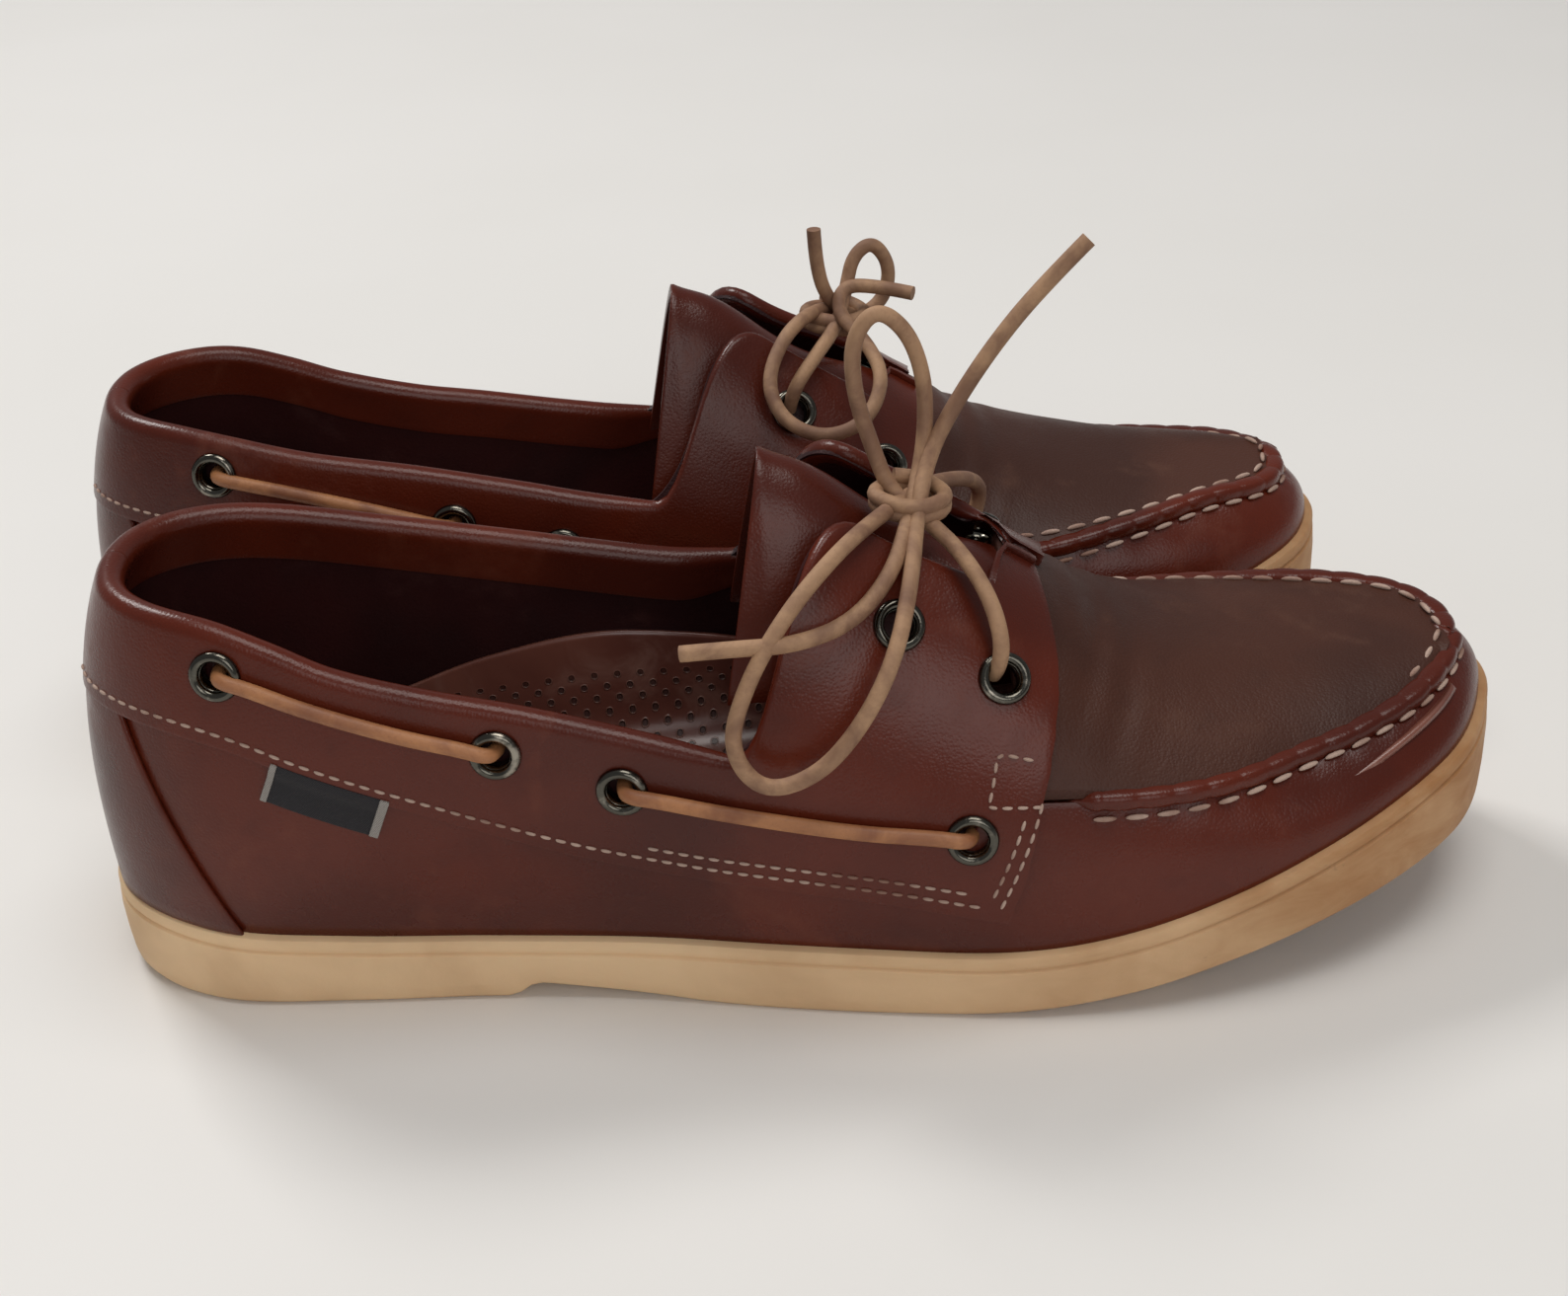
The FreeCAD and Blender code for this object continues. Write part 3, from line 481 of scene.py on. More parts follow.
def drill(piece: bpy.types.Object, spots: Iterable[tuple[Vector, Vector]], radius: float) -> None:
    """Punch round holes through a piece.

    Args:
        piece: the leather to punch.
        spots: centre and outward normal of each hole.
        radius: the holes' radius.
    """
    punches = []
    for centre, normal in spots:
        bpy.ops.object.select_all(action="DESELECT")
        bpy.ops.mesh.primitive_cylinder_add(vertices=24, radius=radius, depth=PUNCH_DEPTH,
                                            location=centre)
        punch = bpy.context.object
        punch.rotation_mode = "QUATERNION"
        punch.rotation_quaternion = normal.to_track_quat("Z", "Y")
        punches.append(punch)
    punch = join(punches, "punch")
    shape(piece, "BOOLEAN", operation="DIFFERENCE", object=punch, solver="EXACT")
    bpy.data.objects.remove(punch)


def join(pieces: Sequence[bpy.types.Object], name: str) -> bpy.types.Object:
    """Make one piece of several, with its place in its mesh."""
    activate(*pieces)
    bpy.ops.object.transform_apply(location=True, rotation=True, scale=True)
    if len(pieces) > 1:
        bpy.ops.object.join()
    piece = bpy.context.object
    piece.name = name
    return piece


def sweep(name: str, route: Sequence[Vector], section: Callable[[int, float], tuple[float, float]],
          around: int, ups: Sequence[Vector]) -> bpy.types.Object:
    """Carry a closed section along a route.

    Args:
        name: the piece's name.
        route: points of the route.
        section: gives the two offsets, along the up direction's side and up, for a route index and
            a share round the section; it shrinks to a point at both ends of the route.
        around: faces round the section.
        ups: the up direction at each point of the route.

    Returns:
        The closed tube.
    """
    count = len(route)

    def surface(u: float, v: float) -> Vector:
        """Point of the swept skin."""
        k = round(u * (count - 1))
        along = (route[min(k + 1, count - 1)] - route[max(k - 1, 0)]).normalized()
        up = (ups[k] - along * ups[k].dot(along)).normalized()
        a, b = section(k, v)
        return route[k] + along.cross(up) * a + up * b

    piece = lay_grid(name, surface, count - 1, around)
    weld(piece, 0.005)
    smooth(piece)
    return piece


def cord_curve(name: str, points: Sequence[Vector], radius: float) -> bpy.types.Object:
    """Draw a round cord on one smooth open spline.

    Args:
        name: the piece's name.
        points: the route's control points, in metres in the pair's frame.
        radius: half the cord's thickness, in metres.

    Returns:
        The curve.
    """
    data = bpy.data.curves.new(name, "CURVE")
    data.dimensions = "3D"
    data.bevel_depth = radius
    data.bevel_resolution = 4
    data.resolution_u = 12
    data.use_fill_caps = True
    spline = data.splines.new("NURBS")
    spline.points.add(len(points) - 1)
    for slot, point in zip(spline.points, points):
        slot.co = (*point, 1.0)
    spline.order_u = 3
    spline.use_endpoint_u = True
    piece = bpy.data.objects.new(name, data)
    bpy.context.collection.objects.link(piece)
    return piece


def scatter_bars(name: str, bars: Iterable[tuple[Vector, Vector, Vector]], width: float,
                 arch: float = 0.0) -> bpy.types.Object:
    """Sew a row of stitches, each a short rounded bar of thread.

    Args:
        name: the piece's name.
        bars: start, end and outward normal of each stitch.
        width: the thread's thickness.
        arch: how far the middle of a stitch stands off, as a share of its thickness.

    Returns:
        One piece that holds the whole row.
    """
    bpy.ops.object.select_all(action="DESELECT")
    bpy.ops.mesh.primitive_uv_sphere_add(segments=8, ring_count=6, radius=0.5,
                                         rotation=(0, math.pi / 2, 0))
    pattern = bpy.context.object
    bpy.ops.object.transform_apply(rotation=True)
    for vertex in pattern.data.vertices:
        x = vertex.co.x * 2
        vertex.co.x = math.copysign(abs(x) ** 0.8, x) / 2
        vertex.co.z += arch * (1 - x * x) * 0.5
    smooth(pattern)
    copies = []
    for start, end, normal in bars:
        along = end - start
        side = normal.cross(along).normalized()
        up = along.cross(side).normalized()
        copy = bpy.data.objects.new(name, pattern.data.copy())
        bpy.context.collection.objects.link(copy)
        turn = Matrix((along.normalized(), side, up)).transposed().to_4x4()
        copy.data.transform(Matrix.Translation((start + end) / 2) @ turn
                            @ Matrix.Diagonal((along.length, width, width, 1.0)))
        copies.append(copy)
    bpy.data.objects.remove(pattern)
    return join(copies, name)


def dashes(path: Sequence[Vector], normals: Sequence[Vector], pitch: float,
           fill: float) -> list[tuple[Vector, Vector, Vector]]:
    """Break a polyline into evenly spaced stitches.

    Args:
        path: points of the stitch line.
        normals: outward normal at each point.
        pitch: distance from one stitch to the next.
        fill: share of the pitch that shows thread.

    Returns:
        Start, end and normal of each stitch.
    """
    reach = [0.0]
    for a, b in zip(path, path[1:]):
        reach.append(reach[-1] + (b - a).length)

    def read(distance: float) -> tuple[Vector, Vector]:
        """Point and normal at a distance along the path."""
        k = max(i for i in range(len(path) - 1) if reach[i] <= distance)
        share = (distance - reach[k]) / (reach[k + 1] - reach[k])
        return path[k].lerp(path[k + 1], share), normals[k].lerp(normals[k + 1], share)

    bars = []
    for k in range(int((reach[-1] - pitch * fill) / pitch) + 1):
        start, normal = read(k * pitch)
        bars.append((start, read((k + fill) * pitch)[0], normal))
    return bars


# ---------------------------------------------------------------- finishes


class Wire:
    """A number's socket, with arithmetic that adds Math nodes."""

    def __init__(self, recipe: "Recipe", socket: bpy.types.NodeSocket) -> None:
        """Wrap a socket of a recipe."""
        self.recipe = recipe
        self.socket = socket

    def _sum(self, operation: str, first: object, second: object, third: object = None) -> "Wire":
        """Add one Math node."""
        inputs = {0: first, 1: second}
        if third is not None:
            inputs[2] = third
        node = self.recipe.add("ShaderNodeMath", {"operation": operation}, inputs)
        return Wire(self.recipe, node.outputs[0])

    def __add__(self, other: object) -> "Wire":
        """This plus another."""
        return self._sum("ADD", self, other)

    __radd__ = __add__

    def __sub__(self, other: object) -> "Wire":
        """This less another."""
        return self._sum("SUBTRACT", self, other)

    def __rsub__(self, other: object) -> "Wire":
        """Another less this."""
        return self._sum("SUBTRACT", other, self)

    def __mul__(self, other: object) -> "Wire":
        """This times another."""
        return self._sum("MULTIPLY", self, other)

    __rmul__ = __mul__

    def sine(self) -> "Wire":
        """Sine of this."""
        return self._sum("SINE", self, 0.0)

    def step(self, low: float, high: float) -> "Wire":
        """Go from 0 to 1 as this goes from low to high."""
        node = self.recipe.add("ShaderNodeMapRange",
                               {"clamp": True, "interpolation_type": "SMOOTHSTEP"},
                               {"Value": self, "From Min": low, "From Max": high})
        return Wire(self.recipe, node.outputs[0])


class Recipe:
    """A material's node tree."""

    def __init__(self, name: str) -> None:
        """Start a material with one principled shader."""
        self.material = bpy.data.materials.new(name)
        self.material.use_nodes = True
        self.tree = self.material.node_tree
        self.tree.nodes.clear()
        self.shader = self.add("ShaderNodeBsdfPrincipled")
        output = self.add("ShaderNodeOutputMaterial")
        self.tree.links.new(self.shader.outputs[0], output.inputs["Surface"])
        self.place = self.add("ShaderNodeTexCoord").outputs["Object"]

    def add(self, kind: str, settings: dict | None = None,
            inputs: dict | None = None) -> bpy.types.Node:
        """Add a node.

        Args:
            kind: the node's type.
            settings: its own values, set first; stops are a ramp's positions and colours.
            inputs: numbers, colours or links for its sockets.

        Returns:
            The node.
        """
        node = self.tree.nodes.new(kind)
        for key, value in (settings or {}).items():
            if key == "stops":
                ramp = node.color_ramp
                for index, (position, colour) in enumerate(value):
                    element = ramp.elements[index] if index < 2 else ramp.elements.new(position)
                    element.position = position
                    element.color = (*colour, 1.0)
            else:
                setattr(node, key, value)
        for key, value in (inputs or {}).items():
            self.feed(node.inputs[key], value)
        return node

    def feed(self, socket: bpy.types.NodeSocket, value: object) -> None:
        """Set or link one socket."""
        if isinstance(value, Wire):
            self.tree.links.new(value.socket, socket)
        elif isinstance(value, bpy.types.NodeSocket):
            self.tree.links.new(value, socket)
        elif isinstance(value, tuple) and len(value) == 3 and socket.type == "RGBA":
            socket.default_value = (*value, 1.0)
        else:
            socket.default_value = value

    def noise(self, scale: float, detail: float = 3.0, warp: float = 0.0, roughness: float = 0.5,
              vector: object = None) -> Wire:
        """Cloudy pattern from 0 to 1."""
        node = self.add("ShaderNodeTexNoise", None, {
            "Vector": vector or self.place, "Scale": scale, "Detail": detail, "Distortion": warp,
            "Roughness": roughness})
        return Wire(self, node.outputs["Fac"])

    def cells(self, scale: float) -> Wire:
        """Distance pattern of scattered cells."""
        node = self.add("ShaderNodeTexVoronoi", {"feature": "F1"},
                        {"Vector": self.place, "Scale": scale, "Randomness": 1.0})
        return Wire(self, node.outputs["Distance"])

    def axis(self, name: str) -> Wire:
        """One coordinate of the piece's place."""
        return Wire(self, self.add("ShaderNodeSeparateXYZ", None, {0: self.place}).outputs[name])

    def mix(self, share: object, first: object, second: object) -> bpy.types.NodeSocket:
        """Mix two colours."""
        node = self.add("ShaderNodeMix", {"data_type": "RGBA"}, {0: share, 6: first, 7: second})
        return node.outputs[2]

    def squash(self, x: float, y: float, z: float) -> bpy.types.NodeSocket:
        """The piece's place, stretched along its axes."""
        return self.add("ShaderNodeMapping", None,
                        {"Vector": self.place, "Scale": (x, y, z)}).outputs[0]

    def bump(self, height: Wire, strength: float, depth: float) -> None:
        """Raise the surface by a pattern; the depth is in metres."""
        node = self.add("ShaderNodeBump", None,
                        {"Strength": strength, "Distance": depth, "Height": height})
        self.tree.links.new(node.outputs[0], self.shader.inputs["Normal"])

    def set(self, **sockets: object) -> None:
        """Feed the principled shader's sockets, named with underscores for spaces."""
        for key, value in sockets.items():
            self.feed(self.shader.inputs[key.replace("_", " ")], value)


@dataclass(frozen=True)
class Leather:
    """Smooth waxed leather with clouding, fine pores, creases and scuffs."""

    name: str
    base: Colour
    deep: Colour
    bare: Colour
    roughness: float = 0.38
    coat: float = 0.25
    scuff: float = 0.35
    grain: float = 0.25

    def make(self) -> bpy.types.Material:
        """Build the material."""
        r = Recipe(self.name)
        cloud = r.noise(16, 3, 0.4).step(0.36, 0.66)
        mottle = r.noise(120, 4, 0.3)
        worn = (r.noise(34, 6, 0.8, 0.62) + r.noise(260, 3, 0.0) * 0.35).step(0.70, 0.98)
        colour = r.mix(cloud, self.deep, self.base)
        colour = r.mix(mottle.step(0.5, 0.8) * 0.35, colour, self.deep)
        colour = r.mix(worn * self.scuff, colour, self.bare)
        pores = r.cells(1500).step(0.0, 0.75)
        crease = r.noise(1, 5, 1.6, 0.6, r.squash(240, 90, 90))
        r.set(Base_Color=colour, Roughness=mottle * 0.22 + worn * 0.18 + (self.roughness - 0.11),
              Coat_Weight=self.coat, Coat_Roughness=0.24, Specular_IOR_Level=0.26)
        r.bump(pores * 0.35 + crease * 0.6 + mottle * 0.6, self.grain, 0.0004)
        return r.material


@dataclass(frozen=True)
class PunchedLeather:
    """Polished insole leather with staggered rows of punched holes, laid out on the UV map; each hole
    is a bump dip darkened with painted shade.
    """

    name: str
    base: Colour
    deep: Colour
    worn: Colour
    # Colour of the painted shade inside the holes.
    hole: Colour
    along: float = 0.0026
    across: float = 0.0037

    def make(self) -> bpy.types.Material:
        """Build the material; the map is in tenths of a metre."""
        r = Recipe(self.name)
        paper = r.add("ShaderNodeSeparateXYZ", None, {0: r.add("ShaderNodeUVMap").outputs[0]})
        u, v = Wire(r, paper.outputs["X"]), Wire(r, paper.outputs["Y"])
        rows = ((u * (math.pi * 0.1 / self.along)).sine()
                * (v * (math.pi * 0.1 / self.across)).sine())
        inside = (u.step(0.16, 0.26) - u.step(1.86, 2.02)) * (v.step(0.04, 0.09) - v.step(0.93,
                                                                                          0.97))
        # Holes: a dip in the bump that is filled with painted shade.
        hole = rows.step(0.62, 0.84) * inside
        ring = (rows.step(0.36, 0.60) - hole) * inside
        cloud = r.noise(22, 4, 0.5).step(0.35, 0.68)
        foot = r.noise(60, 5, 0.8, 0.6)
        colour = r.mix(cloud, self.deep, self.base)
        colour = r.mix(foot.step(0.50, 0.80) * 0.55, colour, self.worn)
        colour = r.mix(ring * 0.30, colour, self.worn)
        # Painted shade: each hole is darkened towards the hole colour.
        colour = r.mix(hole * 0.85, colour, self.hole)
        r.set(Base_Color=colour, Roughness=foot * 0.22 + hole * 0.3 + 0.20, Coat_Weight=0.3,
              Coat_Roughness=0.22)
        r.bump(1.0 - hole + ring * 0.25 + foot * 0.15, 0.9, 0.0008)
        return r.material


@dataclass(frozen=True)
class RawEdge:
    """Cut edge or flesh side of leather: fibrous and matte."""

    name: str
    base: Colour
    pale: Colour

    def make(self) -> bpy.types.Material:
        """Build the material."""
        r = Recipe(self.name)
        fibre = r.noise(700, 4, 0.5, 0.65)
        r.set(Base_Color=r.mix(fibre.step(0.35, 0.7), self.base, self.pale), Roughness=0.82)
        r.bump(fibre, 0.35, 0.0003)
        return r.material


@dataclass(frozen=True)
class GumRubber:
    """Matte cream gum rubber, clouded and streaked with dirt, and darker towards the toe, where the
    darkening is painted shade as well as dirt.
    """

    name: str
    base: Colour
    dirt: Colour
    stain: Colour

    def make(self) -> bpy.types.Material:
        """Build the material."""
        r = Recipe(self.name)
        cloud = r.noise(22, 4, 0.5, 0.55)
        grime = r.noise(1, 5, 0.8, 0.6, r.squash(60, 60, 160))
        # Darker towards the toe: this mask paints shade as well as dirt onto the sole.
        toe = r.axis("X").step(-0.02, 0.17)
        share = (cloud.step(0.35, 0.7) * 0.35 + toe * 0.85) * (grime * 0.7 + 0.50)
        colour = r.mix(share, self.base, self.dirt)
        marks = (r.noise(48, 6, 1.2, 0.7) + toe * 0.05).step(0.70, 0.80)
        colour = r.mix(marks * 0.6, colour, self.stain)
        r.set(Base_Color=colour, Roughness=0.62 + cloud * 0.15, Subsurface_Weight=0.06,
              Subsurface_Scale=0.004)
        r.bump(r.noise(900, 3, 0.0, 0.6) * 0.6 + grime * 0.7, 0.22, 0.0004)
        return r.material


@dataclass(frozen=True)
class Rawhide:
    """Round rawhide lace: dry, slightly fuzzy, darker where it is handled."""

    name: str
    base: Colour
    dark: Colour
    roughness: float = 0.62

    def make(self) -> bpy.types.Material:
        """Build the material."""
        r = Recipe(self.name)
        worn = r.noise(70, 4, 0.6, 0.6)
        fibre = r.noise(1400, 4, 0.3, 0.65)
        colour = r.mix(worn.step(0.34, 0.68), self.dark, self.base)
        colour = r.mix(fibre.step(0.45, 0.8) * 0.35, colour, self.dark)
        r.set(Base_Color=colour, Roughness=self.roughness + worn * 0.15)
        r.bump(fibre * 0.7 + worn, 0.4, 0.0003)
        return r.material


@dataclass(frozen=True)
class Thread:
    """Waxed thread, soiled in places."""

    name: str
    base: Colour
    soiled: Colour

    def make(self) -> bpy.types.Material:
        """Build the material."""
        r = Recipe(self.name)
        dirt = r.noise(60, 4, 0.4).step(0.42, 0.66)
        twist = r.noise(3000, 2)
        r.set(Base_Color=r.mix(dirt, self.base, self.soiled), Roughness=0.7)
        r.bump(twist, 0.4, 0.0002)
        return r.material


@dataclass(frozen=True)
class DarkMetal:
    """Dark plated metal with rubbed patches."""

    name: str
    base: Colour
    rubbed: Colour

    def make(self) -> bpy.types.Material:
        """Build the material."""
        r = Recipe(self.name)
        rub = r.noise(240, 4, 0.4, 0.6).step(0.5, 0.72)
        r.set(Base_Color=r.mix(rub, self.base, self.rubbed), Roughness=0.16 + rub * 0.16,
              Metallic=1.0)
        r.bump(r.noise(1500, 2), 0.08, 0.0002)
        return r.material


@dataclass(frozen=True)
class Woven:
    """Cloth with a visible plain weave."""

    name: str
    base: Colour
    thread: Colour
    pitch: float = 0.0005

    def make(self) -> bpy.types.Material:
        """Build the material."""
        r = Recipe(self.name)
        turn = 2 * math.pi / self.pitch
        weave = (r.axis("X") * turn).sine() * (r.axis("Z") * turn).sine()
        lift = weave.step(-0.6, 0.8)
        r.set(Base_Color=r.mix(lift, self.base, self.thread), Roughness=0.85)
        r.bump(lift, 0.5, 0.0002)
        return r.material


class Palette:
    """Every finish of the pair, made once."""

    def __init__(self) -> None:
        """Make the materials."""
        self.upper = Leather("waxed_red_leather", (0.115, 0.0165, 0.0060), (0.068, 0.010, 0.0045),
                             (0.18, 0.046, 0.022), roughness=0.29, coat=0.14).make()
        self.plug = Leather("worn_plug_leather", (0.070, 0.022, 0.012), (0.045, 0.014, 0.008),
                            (0.105, 0.044, 0.026), roughness=0.48, coat=0.04, scuff=0.5,
                            grain=0.4).make()
        self.inside = Leather("lining_leather", (0.040, 0.008, 0.008), (0.018, 0.004, 0.005),
                              (0.075, 0.022, 0.018), roughness=0.48, coat=0.04, grain=0.4).make()
        # The footbed's fourth colour is the painted shade inside its holes.
        self.footbed = PunchedLeather("footbed_leather", (0.23, 0.085, 0.058), (0.14, 0.045, 0.032),
                                      (0.40, 0.24, 0.19), (0.035, 0.012, 0.010)).make()
        self.trim = RawEdge("footbed_edge", (0.30, 0.20, 0.16), (0.50, 0.38, 0.32)).make()
        self.raw = RawEdge("raw_leather_edge", (0.12, 0.075, 0.052), (0.26, 0.19, 0.14)).make()
        # The gum's second colour is dirt, and towards the toe it is also painted shade.
        self.gum = GumRubber("gum_rubber", (0.86, 0.60, 0.35), (0.40, 0.19, 0.070),
                             (0.14, 0.07, 0.035)).make()
        self.side_lace = Rawhide("waxed_side_lace", (0.46, 0.20, 0.080), (0.24, 0.085, 0.036),
                                 0.42).make()
        self.bow = Rawhide("dry_bow_lace", (0.44, 0.26, 0.145), (0.20, 0.10, 0.058)).make()
        self.thread = Thread("waxed_thread", (0.50, 0.36, 0.29), (0.26, 0.14, 0.10)).make()
        self.metal = DarkMetal("eyelet_plate", (0.10, 0.095, 0.08), (0.34, 0.31, 0.26)).make()
        self.label = Woven("woven_tag", (0.012, 0.011, 0.013), (0.030, 0.028, 0.032)).make()
        self.label_edge = Woven("woven_tag_edge", (0.22, 0.20, 0.18), (0.42, 0.39, 0.36)).make()
        self.board = RawEdge("pressed_board", (0.20, 0.14, 0.09), (0.32, 0.24, 0.17)).make()


@dataclass
class Piece:
    """A finished pattern piece in a shoe's own frame, with what it stands for."""

    mesh: bpy.types.Object
    slot: str
    replaces: tuple[str, ...] = ()
    bends: tuple[Vector, Vector] | None = None


def dress(piece: bpy.types.Object, *materials: bpy.types.Material) -> bpy.types.Object:
    """Give a piece its materials; solidified edges take the second."""
    piece.data.materials.clear()
    for material in materials:
        piece.data.materials.append(material)
    return piece


@dataclass
class Sole:
    """Moulded rubber sole and the perforated footbed on it."""

    palette: Palette
    board: float = 3.05
    cushion: float = 4.0
    inset: float = 4.1
    turn_up: float = 0.62
    arch: tuple[Row, ...] = ((0.02, 1.0), (0.12, 8.0), (0.20, 17.0), (0.27, 25.0), (0.35, 29.5),
                             (0.42, 27.0),
                             (0.50, 20.0), (0.58, 9.0), (0.66, 2.0), (0.98, 0.5))

    def ground(self, share: float) -> float:
        """Height of the tread."""
        return profile(SOLE_BOTTOM, share) if share > 0.44 or share < 0.05 else max(
            0.0,
            3.5 * min((share - 0.292) / 0.016, 1.0,
                      (0.43 - share) / 0.122) if share > 0.292 else 0.0)

    def walls(self) -> Piece:
        """Sole: lip, side wall with a fine groove, rounded tread edge and tread."""
        steps = 300
        places = [LAPS * k / steps for k in range(steps)]
        rows = ((-9.0, 0.0, 0), (-1.5, 0.1, 0), (0.7, 0.1, 0), (1.6, -0.3, 0), (2.0, -1.1, 0),
                (2.0, -2.6, 0),
                (1.55, -3.0, 0), (1.55, -3.4, 0), (2.15, -3.9, 0), (2.4, 0.62, 1), (2.3, 0.3, 1),
                (2.0, 1.6, 2),
                (1.3, 0.5, 2), (0.2, 0.0, 2), (-3.0, 0.0, 2), (-9.0, 0.0, 2))

        def surface(u: float, v: float) -> Vector:
            """Point of the sole's skin: round it, then from its top to its tread."""
            at = places[round(u * steps) % steps]
            foot = LAST.feather(at)
            along = LAST.feather(at + 0.08) - LAST.feather(at - 0.08)
            away = Vector((along.y, -along.x, 0)).normalized()
            offset, level, kind = rows[round((1 - v) * (len(rows) - 1))]
            low = self.ground(min(max(foot.x / LAST.length, 0.0), 1.0))
            z = {0: foot.z + level, 1: low + (foot.z - low) * level, 2: low + level}[kind]
            return Vector((foot.x, foot.y, z)) + away * offset

        sole = lay_grid("outsole", surface, steps, len(rows) - 1)
        weld(sole, 0.02)
        activate(sole)
        bpy.ops.object.mode_set(mode="EDIT")
        bpy.ops.mesh.select_all(action="DESELECT")
        bpy.ops.mesh.select_non_manifold()
        bpy.ops.mesh.fill()
        bpy.ops.object.mode_set(mode="OBJECT")
        weld(sole, 0.02)
        activate(sole)
        bpy.ops.object.shade_smooth_by_angle(angle=math.radians(38))
        return Piece(dress(sole, self.palette.gum), "gum_rubber", ("outsole",))

    def footbed(self) -> Piece:
        """Cushioned insole whose inner edge climbs the lining to hold up the arch."""
        top = self.board + self.cushion

        def wall_point(share: float, height: float) -> Vector:
            """Point on the inner face of the medial lining."""
            at = LAST.place(Side.MEDIAL, share)
            return LAST.out(at, LAST.turn_at(at, height), -self.inset)

        def surface(u: float, v: float) -> Vector:
            """Top face of the footbed."""
            share = min(max(0.016 + 0.96 * (u - math.sin(2 * math.pi * u) * 0.10), 0.016), 0.976)
            outer = LAST.out(LAST.place(Side.LATERAL, share), 0, -self.inset)
            inner = LAST.out(LAST.place(Side.MEDIAL, share), 0, -self.inset)
            if outer.y > inner.y - 1:
                outer.y = inner.y = (outer.y + inner.y) / 2
            base = profile(SOLE_TOP, share) + top
            climb = profile(self.arch, share)
            radius = min(climb, 11.0)
            if v < self.turn_up:
                across = v / self.turn_up
                corner = wall_point(share, base + radius) if climb > 0.6 else inner
                y = outer.y + (corner.y - radius * 0.9 - outer.y) * across
                cup = 2.2 * (1 - across) ** 6 * min(abs(inner.y - outer.y) / 30, 1.0)
                return Vector((outer.x + (inner.x - outer.x) * across, y, base + cup))
            rise = (v - self.turn_up) / (1 - self.turn_up)
            if climb <= 0.6:
                return Vector((inner.x, inner.y, base + climb * rise))
            bend = min(rise / 0.45, 1.0)
            height = radius * (1 - math.cos(bend * math.pi / 2))
            if rise > 0.45:
                height = radius + (climb - radius) * (rise - 0.45) / 0.55
                return wall_point(share, base + height)
            corner = wall_point(share, base + radius)
            return Vector((corner.x, corner.y - radius * 0.9 * (1 - math.sin(bend * math.pi / 2)),
                           base + height))

        bed = lay_grid("footbed", surface, 200, 60)
        paper = bed.data.uv_layers[0].data
        for loop in bed.data.loops:
            point = bed.data.vertices[loop.vertex_index].co
            width = paper[loop.index].uv[1]
            paper[loop.index].uv = (point.x / 100, width * 1.08)
        shape(bed, "SOLIDIFY", thickness=1.2, offset=-1.0, material_offset_rim=1)
        weld(bed, 0.01, outward=False)
        smooth(bed)
        return Piece(dress(bed, self.palette.footbed, self.palette.trim), "footbed_leather",
                     ("footbed",))


